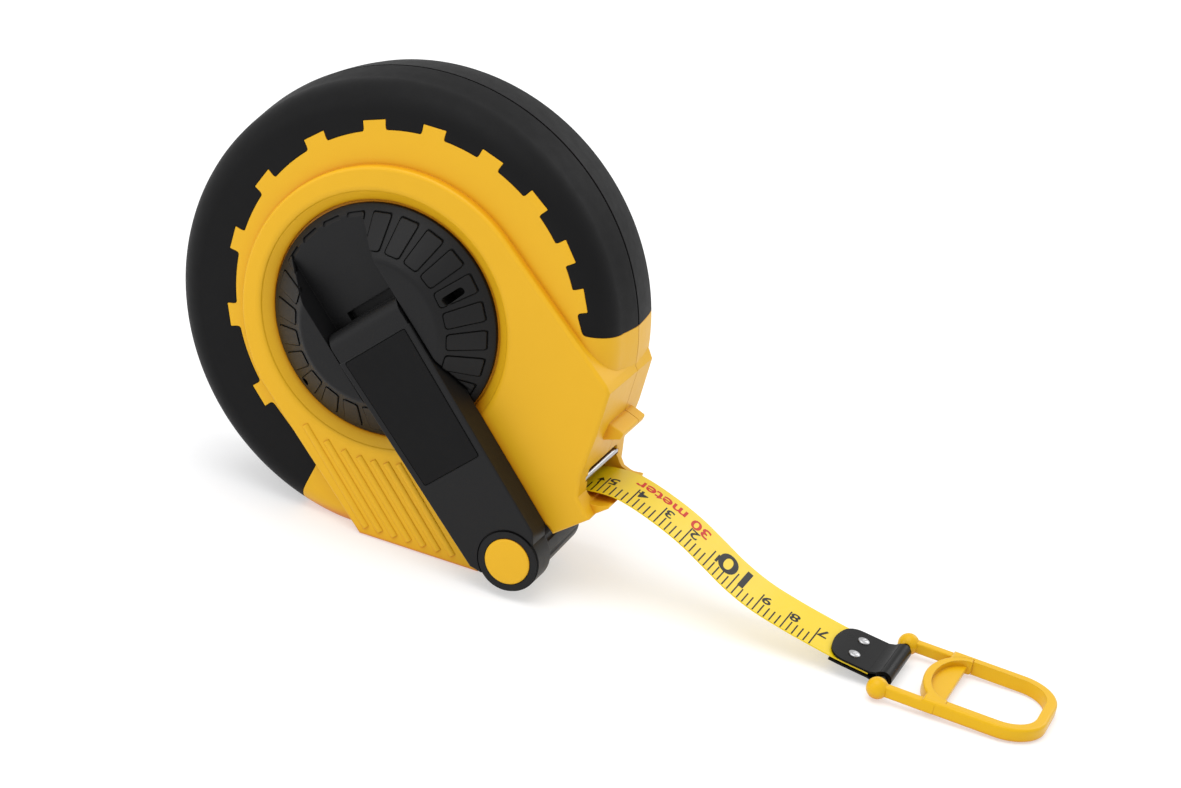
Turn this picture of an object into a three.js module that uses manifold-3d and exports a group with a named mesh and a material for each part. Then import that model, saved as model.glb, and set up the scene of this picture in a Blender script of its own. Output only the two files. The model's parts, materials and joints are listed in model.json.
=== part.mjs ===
// Closed-reel 30 m tape measure with a folding winding crank, its tape pulled out by a hand's width.
// Millimetres. +X towards the mouth, +Y to the rear, +Z up. Every piece is built about the reel axis,
// the line along Y through x = 0, z = 0. The whole group then moves, so that the finished part has
// z = 0 at the base and x = 0 at the middle of the flat foot.
import * as THREE from "three";
import { mergeVertices } from "three/addons/utils/BufferGeometryUtils.js";
import Module from "manifold-3d";

const wasm = await Module();
wasm.setup();

// ---- Driving dimensions ----
const GAP = 0.3; // between pieces that touch
const HUB = { x: -11, z: 71.2 }; // reel axis, from the middle of the foot
const FLOOR = -HUB.z;
const CASE = { radius: 74.9, front: -20, rear: 24.6, mid: 4 }; // mid is the parting plane
const SHOULDER = { radius: 64, round: 9.6, front: [-5.6, 11], rear: [18, 5.4] };
const FOOT = { left: 2.6, right: 43.5 };
const TONGUE = { half: 9, reach: 7, height: 1.5 }; // front cover's tongue in the rear cover's foot
const PANEL = { x: 2.2, z: -0.5, radius: 50, from: 48, to: 218 }; // raised field round the crank
const RUBBER = { thick: 2, root: 57.4, tip: 60.7, x: 5.4, z: 3.6, tooth: 3.7, side: 63.4, end: 13.7 };
const TOOTH_ANGLES = [21.5, 34.8, 50, 66.5, 84, 102, 122, 145, 168, 194.7, 224]; // seen from the reel axis
const RIBS = { count: 7, pitch: 5, first: 4.8, low: -68.2, orbit: 45.5, slope: -47.5, width: 2.2 };
const RECESS = { outer: 41.2, inner: 37.9, rise: 3, floor: -16, plate: 2 };
const DISC = { radius: 37.2, back: -16.3, rim: -17.8, flat: 23.5, top: -29.4, cells: 24, hub: 8 };
const ARM = { angle: -46.1, length: 81.5, root: 14.3, end: 12.6, top: -30.5, under: -20.4 };
const PIN = { y: (ARM.top + ARM.under) / 2, radius: 1.5, grip: 3.2 };
const KNOB = { radius: 8.6, tip: 8, start: -20, end: 11, boss: 10, cap: 7.3, spindle: 2.5 };
const KNOB_SEAT = { radius: 12, wall: 1.9 }; // hollow under the case that takes the folded knob
const REEL = { drum: 16, tape: 62, flange: 64.4, disc: 1.3, axle: 4, spigot: 8.6, journal: 3.2 };
const TAPE = { width: 21, thick: 0.5 };
const CHAMBER = { radius: 68.5, side: -10.5, front: -13, rear: 14.6, deepRadius: 60, deep: 19 };
const MOUTH = { half: 12.2, top: -29.8, lip: -37.6, guideX: 70.3, guideZ: -32.6, guide: 1 };
const SCREW = { head: 2.4, shank: 1.3, orbit: 68.4, boss: 3.4, angles: [62, 118, 174] };
const RING = { x: 173.4, z: 3.7 + FLOOR, span: 17.2, ball: 3.4, bar: 3.4, top: 2.7, length: 50, half: 18.6 };
const CLIP = { start: 154, half: 11, sheet: 0.6, barrel: 2.6, bore: 1.5 };
const RIVET = { x: 161.8, z: 4.7 + FLOOR, tilt: 9.5, shank: 1, head: 1.8, rows: [-5, 5] };

const rad = THREE.MathUtils.degToRad;
const ALONG = { x: Math.cos(rad(ARM.angle)), z: Math.sin(rad(ARM.angle)) };
const KNOB_X = ALONG.x * ARM.length;
const KNOB_Z = ALONG.z * ARM.length;

// ---- Materials ----
const paint = (color, roughness, metalness = 0) =>
  new THREE.MeshStandardMaterial({ color, roughness, metalness });
const yellowPlastic = paint(0xddac2a, 0.45);
const blackPlastic = paint(0x242426, 0.5);
const blackRubber = paint(0x202022, 0.75);
const orangePlastic = paint(0xf6b01e, 0.35);
const tapeYellow = paint(0xf0d62d, 0.4);
const steel = paint(0xb9bcc0, 0.25, 1);
const blackSteel = paint(0x1c1c1e, 0.35, 0.6);
const ivoryPlastic = paint(0xd8d4c8, 0.55);

// ---- Shape helpers ----
function solid(geometry) {
  const bare = geometry.index ? geometry.toNonIndexed() : geometry;
  bare.deleteAttribute("normal");
  bare.deleteAttribute("uv");
  const merged = mergeVertices(bare, 1e-3);
  return new wasm.Manifold(
    new wasm.Mesh({
      numProp: 3,
      vertProperties: merged.attributes.position.array,
      triVerts: new Uint32Array(merged.index.array),
    }),
  );
}

// Names a solid and hangs it in a group. Slivers that a cut leaves beside the body are dropped.
function piece(name, shape, material, group) {
  const body = shape.decompose().sort((a, b) => b.volume() - a.volume())[0];
  const out = body.getMesh();
  const geometry = new THREE.BufferGeometry();
  geometry.setAttribute("position", new THREE.BufferAttribute(out.vertProperties, 3));
  geometry.setIndex(new THREE.BufferAttribute(out.triVerts, 1));
  geometry.computeVertexNormals();
  const mesh = new THREE.Mesh(geometry, material);
  mesh.name = name;
  group.add(mesh);
}

function extruded(shape, depth, bevel, segments) {
  return new THREE.ExtrudeGeometry(shape, {
    depth: depth - 2 * bevel,
    bevelEnabled: bevel > 0,
    bevelSize: bevel,
    bevelThickness: bevel,
    bevelOffset: -bevel,
    bevelSegments: 1,
    curveSegments: segments,
  });
}

// An outline in the XZ plane, extruded from y = low to y = high.
function prism(shape, low, high, bevel = 0, segments = 8) {
  const geometry = extruded(shape, high - low, bevel, segments);
  return solid(geometry.rotateX(Math.PI / 2).translate(0, high - bevel, 0));
}

// An outline in the XY plane, extruded from z = low to z = high.
function plate(shape, low, high, bevel = 0, segments = 6) {
  return solid(extruded(shape, high - low, bevel, segments).translate(0, 0, low + bevel));
}

function polygon(points) {
  return new THREE.Shape(points.map(([u, v]) => new THREE.Vector2(u, v)));
}

// A closed profile of [radius, y] points turned about a line along Y at x, z.
function turned(profile, x = 0, z = 0, segments = 40) {
  const points = profile.map(([r, y]) => new THREE.Vector2(r, y));
  const ordered = THREE.ShapeUtils.isClockWise(points) ? points.reverse() : points;
  ordered.push(ordered[0].clone());
  return solid(new THREE.LatheGeometry(ordered, segments).translate(x, 0, z));
}

function tube(inner, outer, low, high, segments = 24) {
  return turned([[inner, low], [outer, low], [outer, high], [inner, high]], 0, 0, segments);
}

function rod(radius, low, high, x = 0, z = 0, segments = 16) {
  return turned([[0, low], [radius, low], [radius, high], [0, high]], x, z, segments);
}

function block(x0, x1, y0, y1, z0, z1) {
  const box = new THREE.BoxGeometry(x1 - x0, y1 - y0, z1 - z0);
  return solid(box.translate((x0 + x1) / 2, (y0 + y1) / 2, (z0 + z1) / 2));
}

function arcPoints(x, z, radius, from, to, steps) {
  return Array.from({ length: steps + 1 }, (_, i) => {
    const a = rad(from + ((to - from) * i) / steps);
    return [x + radius * Math.cos(a), z + radius * Math.sin(a)];
  });
}

const union = (...parts) => parts.reduce((all, part) => all.add(part));
const without = (body, ...cuts) => cuts.reduce((left, cut) => left.subtract(cut), body);
const frontHalf = () => block(-200, 200, -100, CASE.mid - GAP / 2, FLOOR, 200);
const rearHalf = () => block(-200, 200, CASE.mid + GAP / 2, 100, FLOOR, 200);

// ---- Case ----
// The rim's section: flat faces, rounded shoulders and a slight crown at the parting plane.
function rimProfile(inset) {
  const round = ([y, drop], sign) =>
    Array.from({ length: 4 }, (_, i) => {
      const t = rad(30 * i);
      const r = SHOULDER.radius + (SHOULDER.round - inset) * Math.sin(t);
      return [r, y + sign * (drop - inset) * Math.cos(t)];
    });
  const front = round(SHOULDER.front, -1);
  const rear = round(SHOULDER.rear, 1).reverse();
  return [[0, front[0][1]], ...front, [CASE.radius - inset, CASE.mid], ...rear, [0, rear[3][1]]];
}

const rim = (inset) => turned(rimProfile(inset), 0, 0, 60);

// Raised field, nose and foot in one outline, without the lip of the mouth.
function bodyOutline() {
  return polygon([
    [74.3, 1.6],
    ...arcPoints(PANEL.x, PANEL.z, PANEL.radius, PANEL.from, PANEL.to, 16),
    [FOOT.left, FLOOR],
    [FOOT.right, FLOOR],
    ...arcPoints(KNOB_X, KNOB_Z, KNOB_SEAT.radius, 200, 41, 8),
    [76.2, -42.6],
    [71.4, -36.5],
    [71.1, MOUTH.top],
    [74, -15],
    [75.8, -0.8],
  ]);
}

function lip() {
  const outline = [
    [64, -50.5],
    [76.4, -42.3],
    [80.3, -39.3],
    [80.6, MOUTH.lip],
    [77, -38],
    [73.4, -36.6],
    [71.6, -33.5],
    [64, -31],
  ];
  return prism(polygon(outline), -14.4, 14.4);
}

function thumbLedge() {
  const outline = [
    [70, -13.8],
    [74.9, -14.6],
    [79.2, -16.3],
    [78.6, -18.4],
    [73.2, -20.2],
    [70, -20.2],
  ];
  return prism(polygon(outline), -9.7, 9.7);
}

// Where the ray from the reel axis at this angle meets a circle about the yellow field's centre.
function onField(angle, radius) {
  const u = [Math.cos(rad(angle)), Math.sin(rad(angle))];
  const along = u[0] * RUBBER.x + u[1] * RUBBER.z;
  const reach = along + Math.sqrt(along ** 2 - RUBBER.x ** 2 - RUBBER.z ** 2 + radius ** 2);
  return [u[0] * reach, u[1] * reach];
}

// Castellated outline of the yellow field inside the rubber, grown outwards by a margin.
function yellowField(margin) {
  const root = RUBBER.root + margin;
  const tip = RUBBER.tip + margin;
  const end = RUBBER.end + margin;
  const field = [[90, -90], [90, end], [RUBBER.side + margin, end]];
  TOOTH_ANGLES.forEach((angle, i) => {
    const half = THREE.MathUtils.radToDeg((RUBBER.tooth + margin) / Math.hypot(...onField(angle, root)));
    field.push(onField(angle - half, root));
    field.push(onField(angle - half, tip));
    field.push(onField(angle + half, tip));
    field.push(onField(angle + half, root));
    const next = TOOTH_ANGLES[i + 1];
    if (next) field.push(onField((angle + next) / 2, root));
  });
  field.push([-16.2 - margin, -53.7], [-20 - margin, -64.7], [-24.6 - margin, -90]);
  return polygon(field);
}

// The layer that the rubber fills on both sides of the case. Its room in the case is wider by the gap
// and open to the outside.
function rubberLayer(gap) {
  const outside = rim(gap > 0 ? -1 : 0);
  return without(outside, rim(RUBBER.thick + gap), prism(yellowField(-gap), -40, 40));
}

// Grip ribs low on the face: each runs from a circle round the reel down to the foot.
function gripRibs() {
  const lean = rad(RIBS.slope);
  const ribs = Array.from({ length: RIBS.count }, (_, i) => {
    const x = RIBS.first + RIBS.pitch * i;
    const across = x * Math.sin(lean) - RIBS.low * Math.cos(lean);
    const along = x * Math.cos(lean) + RIBS.low * Math.sin(lean);
    const length = along - Math.sqrt(RIBS.orbit ** 2 - across ** 2);
    const half = RIBS.width / 2;
    const rib = block(-length, 0, CASE.front - 0.6, CASE.front + 1, -half, half);
    return rib.rotate([0, -RIBS.slope, 0]).translate([x, 0, RIBS.low]);
  });
  return union(...ribs);
}

function screwPlaces() {
  const round = SCREW.angles.map((angle) => {
    return [SCREW.orbit * Math.cos(rad(angle)), SCREW.orbit * Math.sin(rad(angle))];
  });
  return [...round, [70.4, -20.5], [37.5, -62.5]];
}

const atScrews = (radius, low, high, n = 10) =>
  screwPlaces().map(([x, z]) => rod(radius, low, high, x, z, n));

// Reel chamber, tape duct and mouth. The screw bosses and the wall of the knob seat stay solid.
function hollow() {
  const front = RECESS.floor + RECESS.plate;
  const chamber = turned([
    [0, front],
    [44, front],
    [46, CHAMBER.front],
    [65.2, CHAMBER.front],
    [CHAMBER.radius, CHAMBER.side],
    [CHAMBER.radius, CHAMBER.rear],
    [CHAMBER.deepRadius, CHAMBER.deep],
    [0, CHAMBER.deep],
  ]);
  const duct = [
    [40, -52.5],
    [52, -45.2],
    [62, -41.6],
    [70, -38.8],
    [77, -39.4],
    [90, MOUTH.lip],
    [90, -30],
    [71.1, MOUTH.top],
    [64, -27],
    [50, -25],
  ];
  const open = chamber.add(prism(polygon(duct), -MOUTH.half, MOUTH.half));
  const seatWall = rod(KNOB_SEAT.radius + KNOB_SEAT.wall, -30, 30, KNOB_X, KNOB_Z, 24);
  return without(open, seatWall, ...atScrews(SCREW.boss, -30, 30));
}

// Slope behind the nose, where the rear half is narrower than the rest of the case.
function noseSlope() {
  const outline = polygon([[57, 26], [65, 20], [76, 16.8], [90, 14], [90, 30], [57, 30]]);
  return plate(outline, -44, 40);
}

function caseBody() {
  const body = prism(bodyOutline(), CASE.front, CASE.rear, 1.6).subtract(noseSlope());
  const seat = rod(KNOB_SEAT.radius, -60, 60, KNOB_X, KNOB_Z, 24);
  const outside = union(rim(0).subtract(seat), body, lip(), thumbLedge());
  return without(outside, rubberLayer(GAP), hollow(), guideBar(GAP));
}

// Funnel in the front face for the crank disc.
function crankRecess() {
  return turned([
    [0, -30],
    [RECESS.outer + 10, -30],
    [RECESS.outer, CASE.front],
    [RECESS.inner, CASE.front + RECESS.rise],
    [RECESS.inner, RECESS.floor],
    [0, RECESS.floor],
  ]);
}

function footTongue(gap) {
  const half = TONGUE.half + gap;
  const top = FLOOR + TONGUE.height + gap;
  const end = CASE.mid + TONGUE.reach + gap;
  return block(-HUB.x - half, -HUB.x + half, CASE.mid - 1, end, FLOOR - gap, top);
}

function frontCover(whole) {
  const ribs = gripRibs().subtract(prism(armOutline(1.5), -40, 0));
  const bushHole = rod(10.4, -20, -10, 0, 0, 24);
  const bores = atScrews(SCREW.shank + GAP, -7.8, CASE.mid + 1);
  const shell = union(whole.intersect(frontHalf()), ribs, footTongue(0));
  return without(shell, crankRecess(), bushHole, ...bores);
}

function rearCover(whole) {
  const bearing = rod(10, 13.4, 21, 0, 0, 24);
  const bushHole = rod(6.4, 10, 17.2, 0, 0, 24);
  const dish = rod(30, CASE.rear - 0.8, 30, 0, 0, 40);
  const shanks = atScrews(SCREW.shank + GAP, CASE.mid - 1, 40);
  const wells = [...shanks, ...atScrews(SCREW.head + GAP, 12.5, 40)];
  const shell = whole.intersect(rearHalf()).add(bearing);
  return without(shell, bushHole, dish, footTongue(GAP), ...wells);
}

const frontRubber = () => rubberLayer(0).intersect(frontHalf());

function rearRubber() {
  return without(rubberLayer(0).intersect(rearHalf()), ...atScrews(SCREW.head + 0.8, 10, 40));
}

// Polished bar across the top of the mouth.
function guideBar(gap = 0) {
  return rod(MOUTH.guide + gap, -13.6 - gap, 13.6 + gap, MOUTH.guideX, MOUTH.guideZ, 12);
}

function caseScrew(x, z) {
  const head = rod(SCREW.head, 12.8, 14.8, x, z, 12);
  const slot = block(x - 1.7, x + 1.7, 14.1, 15.5, z - 0.4, z + 0.4);
  return union(head, rod(SCREW.shank, -7.2, 13, x, z, 8)).subtract(slot);
}

// ---- Reel ----
function reelDrum() {
  const side = TAPE.width / 2 - 0.2;
  const core = turned([
    [REEL.axle + GAP, -side - 1.8],
    [REEL.spigot, -side - 1.8],
    [REEL.spigot, -side],
    [REEL.drum, -side],
    [REEL.drum, side],
    [REEL.spigot, side],
    [REEL.spigot, side + 1.8],
    [REEL.axle + GAP, side + 1.8],
  ], 0, 0, 28);
  const slot = block(12.6, 20, -20, 20, -0.9, 0.9);
  return core.subtract(slot);
}

// Side disc of the reel with six lightening holes.
function reelFlange(side) {
  const inner = TAPE.width / 2 + 0.25;
  const low = side > 0 ? inner : -inner - REEL.disc;
  const disc = tube(REEL.spigot + GAP, REEL.flange, low, low + REEL.disc, 36);
  const windows = Array.from({ length: 6 }, (_, i) => {
    return rod(8, -20, 20, 38 * Math.cos(rad(60 * i)), 38 * Math.sin(rad(60 * i)), 10);
  });
  return without(disc, ...windows);
}

function reelAxle() {
  const shaft = turned([
    [0, -15.4],
    [REEL.axle, -15.4],
    [REEL.axle, 13.2],
    [REEL.journal, 13.2],
    [REEL.journal, 17],
    [0, 17],
  ], 0, 0, 20);
  return shaft.subtract(rod(1.9, -30, -11, 0, 0, 12));
}

// ---- Crank ----
// s along the arm from the reel axis, n across it.
const alongArm = (s, n) => [ALONG.x * s - ALONG.z * n, ALONG.z * s + ALONG.x * n];
const armPolygon = (corners) => polygon(corners.map(([s, n]) => alongArm(s, n)));

function symmetric(edge) {
  return [...edge.map(([s, n]) => [s, -n]), ...[...edge].reverse()];
}

// The arm seen from the front, grown sideways by a margin: it narrows from the hinge to the knob.
function armOutline(margin = 0) {
  return armPolygon(symmetric([
    [0, ARM.root + margin],
    [ARM.length - 4, ARM.end + margin],
    [ARM.length - 0.5, KNOB.boss + margin],
  ]));
}

// A rod on the hinge line, across the arm.
function hingeRod(radius, half, segments = 16) {
  const bar = new THREE.CylinderGeometry(radius, radius, 2 * half, segments).rotateZ(Math.PI / 2);
  return solid(bar.rotateY(rad(-ARM.angle - 90)).translate(0, PIN.y, 0));
}

function coneAt(r) {
  const rise = (DISC.rim - DISC.top - 0.6) / (DISC.radius - DISC.flat);
  return DISC.rim - (DISC.radius - r) * rise;
}

// Raised pads on the cone of the disc.
function discPads() {
  const layer = turned([
    [25.4, coneAt(25.4) + 1],
    [34.8, coneAt(34.8) + 1],
    [34.8, coneAt(34.8) - 0.6],
    [25.4, coneAt(25.4) - 0.6],
  ]);
  const pads = Array.from({ length: DISC.cells }, (_, i) => {
    const bar = block(20, 40, -40, 0, -2.7, 2.7);
    return layer.intersect(bar.rotate([0, (360 * (i + 0.5)) / DISC.cells, 0]));
  });
  return union(...pads);
}

function crankDisc() {
  const dome = turned([
    [0, DISC.back],
    [DISC.radius, DISC.back],
    [DISC.radius, DISC.rim],
    [DISC.flat, DISC.top + 0.6],
    [DISC.flat - 1.5, DISC.top],
    [0, DISC.top],
  ]);
  const hub = rod(DISC.hub, DISC.back - 1, -12.9, 0, 0, 24);
  const half = ARM.root + GAP;
  const slotSides = armPolygon([[-60, -half], [60, -half], [60, half], [-60, half]]);
  const channel = prism(slotSides, -60, ARM.under + GAP);
  const screwHole = rod(1.9, -30, -10, 0, 0, 12).add(rod(4.3, -30, -17.6, 0, 0, 20));
  const axleHole = rod(REEL.axle + GAP, -15.8, -10, 0, 0, 20);
  const pinHole = hingeRod(PIN.radius + GAP, ARM.root + PIN.grip + GAP);
  return without(union(dome, hub, discPads()), channel, screwHole, axleHole, pinHole);
}

const crankScrew = () => rod(4, -19.5, -17.9, 0, 0, 20).add(rod(1.5, -18, -11.6, 0, 0, 12));

function crankArm() {
  const bar = prism(armOutline(), ARM.top, ARM.under, 0.8);
  const neck = prism(armPolygon(symmetric([[0, ARM.root], [6, ARM.root - 0.2]])), ARM.top, ARM.under);
  const root = block(-60, 4, -60, 0, -60, 60).rotate([0, -ARM.angle, 0]);
  const knuckle = hingeRod((ARM.under - ARM.top) / 2, ARM.root, 20);
  const boss = rod(KNOB.boss, ARM.top - 0.4, ARM.under, KNOB_X, KNOB_Z, 24);
  const scoopEdge = symmetric([[9, ARM.root - 2.4], [ARM.length - 14, ARM.end - 2]]);
  return without(
    union(bar.subtract(root), neck, knuckle, boss),
    prism(armPolygon(scoopEdge), ARM.top + 2.6, 0),
    prism(padOutline(GAP), -40, ARM.top + 0.5),
    rod(KNOB.cap + GAP, -40, -28.4, KNOB_X, KNOB_Z, 24),
    rod(KNOB.spindle + GAP, -40, 0, KNOB_X, KNOB_Z),
    hingeRod(PIN.radius + GAP, 40),
  );
}

function padOutline(margin = 0) {
  return armPolygon(symmetric([[5.5 - margin, 10.6 + margin], [49 + margin, 9.4 + margin]]));
}

// Round grip with flutes along it, narrowing to its free end.
function windingKnob() {
  const profile = [
    [0, KNOB.start],
    [KNOB.radius, KNOB.start],
    [KNOB.tip, KNOB.end - 2.4],
    [KNOB.tip - 2.4, KNOB.end],
    [0, KNOB.end],
  ];
  const flutes = Array.from({ length: 10 }, (_, i) => {
    const a = rad(36 * i);
    const x = KNOB_X + (KNOB.radius + 0.5) * Math.cos(a);
    return rod(1.2, KNOB.start + 2, KNOB.end + 1, x, KNOB_Z + (KNOB.radius + 0.5) * Math.sin(a), 8);
  });
  const bore = rod(KNOB.spindle + GAP, -40, -0.6, KNOB_X, KNOB_Z);
  return without(turned(profile, KNOB_X, KNOB_Z, 40), bore, ...flutes);
}

function knobCap() {
  const profile = [[0, -28.7], [KNOB.cap, -28.7], [KNOB.cap, -31], [KNOB.cap - 0.5, -31.4], [0, -31.6]];
  return turned(profile, KNOB_X, KNOB_Z, 24);
}

// ---- Tape ----
// The blade's middle line in the XZ plane: off the roll, through the mouth, then down to the bench.
function bladeCurve() {
  const off = rad(-66.5);
  const start = [(REEL.tape + 0.9) * Math.cos(off), (REEL.tape + 0.9) * Math.sin(off)];
  const inside = [start, [46, -47], [62, -40.2], [71, -37.4], [79, -36.9], [84.5, -37.9]];
  const droop = [
    [93.5, 30.3],
    [102.9, 26.2],
    [111.2, 21.4],
    [119.6, 16.4],
    [128.5, 12.4],
    [138.4, 9.5],
    [148.2, 7.2],
    [157, 5.4],
    [168.6, 3.7],
  ];
  const all = [...inside, ...droop.map(([x, z]) => [x, z + FLOOR])];
  const points = all.map(([x, z]) => new THREE.Vector3(x, 0, z));
  return new THREE.CatmullRomCurve3(points, false, "centripetal");
}

const bladeLine = (steps) => bladeCurve().getSpacedPoints(steps).map((p) => [p.x, p.z]);

// A sheet of even thickness on a line in the XZ plane.
function ribbon(line, thick, half) {
  const side = (sign) =>
    line.map((p, i) => {
      const a = line[Math.max(i - 1, 0)];
      const b = line[Math.min(i + 1, line.length - 1)];
      const run = (2 * Math.hypot(b[0] - a[0], b[1] - a[1])) / (sign * thick);
      return [p[0] - (b[1] - a[1]) / run, p[1] + (b[0] - a[0]) / run];
    });
  return prism(polygon([...side(-1), ...side(1).reverse()]), -half, half);
}

function tapeBlade() {
  const blade = ribbon(bladeLine(40), TAPE.thick, TAPE.width / 2);
  return without(blade, ...RIVET.rows.map(rivetHole));
}

// One leaf of the clip, above or below the tape's end, run on into the eye.
function clipLeaf(side, from) {
  const offset = side * (TAPE.thick / 2 + GAP + CLIP.sheet / 2);
  const line = bladeLine(60).filter(([x]) => x > from).map(([x, z]) => [x, z + offset]);
  line.push([RING.x - 1.2, RING.z + side * (CLIP.barrel - 0.6)]);
  return ribbon(line, CLIP.sheet, CLIP.half);
}

// One folded sheet: top leaf with a rounded start, eye round the ring's pin, bottom leaf.
function endClip() {
  const eye = tube(CLIP.bore, CLIP.barrel, -CLIP.half, CLIP.half, 16).translate([RING.x, 0, RING.z]);
  const round = new THREE.Shape();
  round.moveTo(RING.x + 8, -CLIP.half);
  round.lineTo(RING.x + 8, CLIP.half);
  round.absellipse(CLIP.start + 7, 0, 7, CLIP.half, Math.PI / 2, (3 * Math.PI) / 2);
  const top = clipLeaf(1, CLIP.start).intersect(plate(round, -90, -50));
  const bore = rod(CLIP.bore, -20, 20, RING.x, RING.z);
  const room = bladeLine(60).filter(([x]) => x > 140);
  room.push([169.1, 3.6 + FLOOR]);
  const slit = ribbon(room, TAPE.thick + 2 * GAP, CLIP.half + 1);
  const leaves = union(top, clipLeaf(-1, CLIP.start + 2)).subtract(bore);
  return without(union(eye, leaves), slit, ...RIVET.rows.map(rivetHole));
}

const placeRivet = (body, y) => body.rotate([0, RIVET.tilt, 0]).translate([RIVET.x, y, RIVET.z]);
const upright = (radius, low, high, n) => rod(radius, low, high, 0, 0, n).rotate([90, 0, 0]);
const rivetHole = (y) => placeRivet(upright(RIVET.shank + 0.25, -4, 4, 8), y);

function clipRivet(y) {
  const reach = TAPE.thick / 2 + GAP + CLIP.sheet + 0.25;
  const foot = upright(RIVET.head - 0.3, -reach - 0.35, -reach, 12);
  const shank = upright(RIVET.shank, -reach - 0.1, reach + 0.1, 8);
  const head = upright(RIVET.head, reach, reach + 0.4, 12).add(upright(1.1, reach, reach + 0.7, 12));
  return placeRivet(union(shank, head, foot), y);
}

const ringPin = () => rod(1.1, -RING.span + 1.6, RING.span - 1.6, RING.x, RING.z, 12);

// Outline of the finger loop seen from above, with the pin at the origin.
function loopOutline(inset, from) {
  const half = RING.half - inset;
  const end = RING.length - inset;
  const corner = 13 - inset;
  const shape = new THREE.Shape();
  shape.moveTo(from, -half);
  shape.lineTo(end - corner, -half);
  shape.absarc(end - corner, -half + corner, corner, -Math.PI / 2, 0);
  shape.absarc(end - corner, half - corner, corner, 0, Math.PI / 2);
  shape.lineTo(from, half);
  return shape;
}

// Half ellipse that closes the loop on the pin's side.
function archOutline(inset) {
  const shape = new THREE.Shape();
  shape.absellipse(21, 0, 11 - inset, RING.half - 1.4 - inset, Math.PI / 2, (3 * Math.PI) / 2);
  return shape;
}

function endRing() {
  const thick = RING.bar / 2;
  const finger = plate(loopOutline(RING.bar, 19.5), -9, 9);
  const loop = plate(loopOutline(0, 14), -thick, RING.top, 0.9).subtract(finger);
  const arch = plate(archOutline(0), -thick, RING.top, 0.5).subtract(plate(archOutline(2.6), -9, 9));
  const web = plate(archOutline(2), -0.8, 0.8).intersect(block(0, 19.6, -30, 30, -9, 9));
  const sides = [-RING.span, RING.span];
  const legs = sides.map((y) => block(0, 18, y - 1.5, y + 1.5, -thick, 2));
  const balls = sides.map((y) => solid(new THREE.SphereGeometry(RING.ball, 12, 8)).translate([0, y, 0]));
  const body = union(loop.subtract(plate(archOutline(0), -9, 9)), arch, web, ...legs, ...balls);
  const clipRoom = block(-6, 9, -CLIP.half - 1.6, CLIP.half + 1.6, -9, 9);
  const pinBore = rod(1.1 + GAP, -RING.span + 1.2, RING.span - 1.2);
  return without(body, clipRoom, pinBore).rotate([0, 2.2, 0]).translate([RING.x, 0, RING.z]);
}

// ---- Assembly ----
const tapeMeasure = new THREE.Group();
const whole = caseBody();
piece("front_cover", frontCover(whole), yellowPlastic, tapeMeasure);
piece("rear_cover", rearCover(whole), yellowPlastic, tapeMeasure);
piece("front_rubber_grip", frontRubber(), blackRubber, tapeMeasure);
piece("rear_rubber_grip", rearRubber(), blackRubber, tapeMeasure);
piece("mouth_guide_bar", guideBar(), steel, tapeMeasure);
screwPlaces().forEach(([x, z], i) => piece(`case_screw_${i + 1}`, caseScrew(x, z), steel, tapeMeasure));
piece("front_bush", tube(DISC.hub + GAP, 10.1, -15.7, -13.4), ivoryPlastic, tapeMeasure);
piece("rear_bush", tube(REEL.journal + GAP, 6.1, 13.6, 17), ivoryPlastic, tapeMeasure);

const reel = new THREE.Group();
piece("reel_drum", reelDrum(), ivoryPlastic, reel);
piece("reel_flange_front", reelFlange(-1), ivoryPlastic, reel);
piece("reel_flange_rear", reelFlange(1), ivoryPlastic, reel);
piece("wound_tape", tube(REEL.drum + GAP, REEL.tape, -10.2, 10.2, 40), tapeYellow, reel);
piece("tape_anchor_wedge", block(12.9, 15.8, -9.5, 9.5, -0.6, 0.6), ivoryPlastic, reel);
piece("reel_axle", reelAxle(), steel, reel);
tapeMeasure.add(reel);

const crank = new THREE.Group();
piece("crank_disc", crankDisc(), blackPlastic, crank);
piece("crank_screw", crankScrew(), steel, crank);
piece("arm_hinge_pin", hingeRod(PIN.radius, ARM.root + PIN.grip), steel, crank);
piece("crank_arm", crankArm(), blackPlastic, crank);
piece("arm_thumb_pad", prism(padOutline(), ARM.top - 0.25, ARM.top + 0.2), blackRubber, crank);
piece("knob_cap", knobCap(), yellowPlastic, crank);
piece("knob_spindle", rod(KNOB.spindle, -28.1, -1, KNOB_X, KNOB_Z), steel, crank);
piece("winding_knob", windingKnob(), blackPlastic, crank);
tapeMeasure.add(crank);

const tapeEnd = new THREE.Group();
piece("tape_blade", tapeBlade(), tapeYellow, tapeEnd);
piece("tape_end_clip", endClip(), blackSteel, tapeEnd);
RIVET.rows.forEach((y, i) => piece(`clip_rivet_${i + 1}`, clipRivet(y), steel, tapeEnd));
piece("ring_pin", ringPin(), steel, tapeEnd);
piece("end_ring", endRing(), orangePlastic, tapeEnd);
tapeMeasure.add(tapeEnd);

tapeMeasure.position.set(HUB.x, 0, HUB.z);
export default tapeMeasure;
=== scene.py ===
"""Looks of a closed-reel tape measure: moulded case with rubber grips, folding crank and drawn-out tape.

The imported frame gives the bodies, joints and boxes. Shapes are worked out in millimetres about the reel
axis (x to the mouth, y to the rear, z up) and then moved into the frame in metres."""

import json
import math

import bmesh
import bpy
from bpy.props import FloatProperty, FloatVectorProperty, IntProperty, PointerProperty, StringProperty
from mathutils import Matrix, Vector


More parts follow.
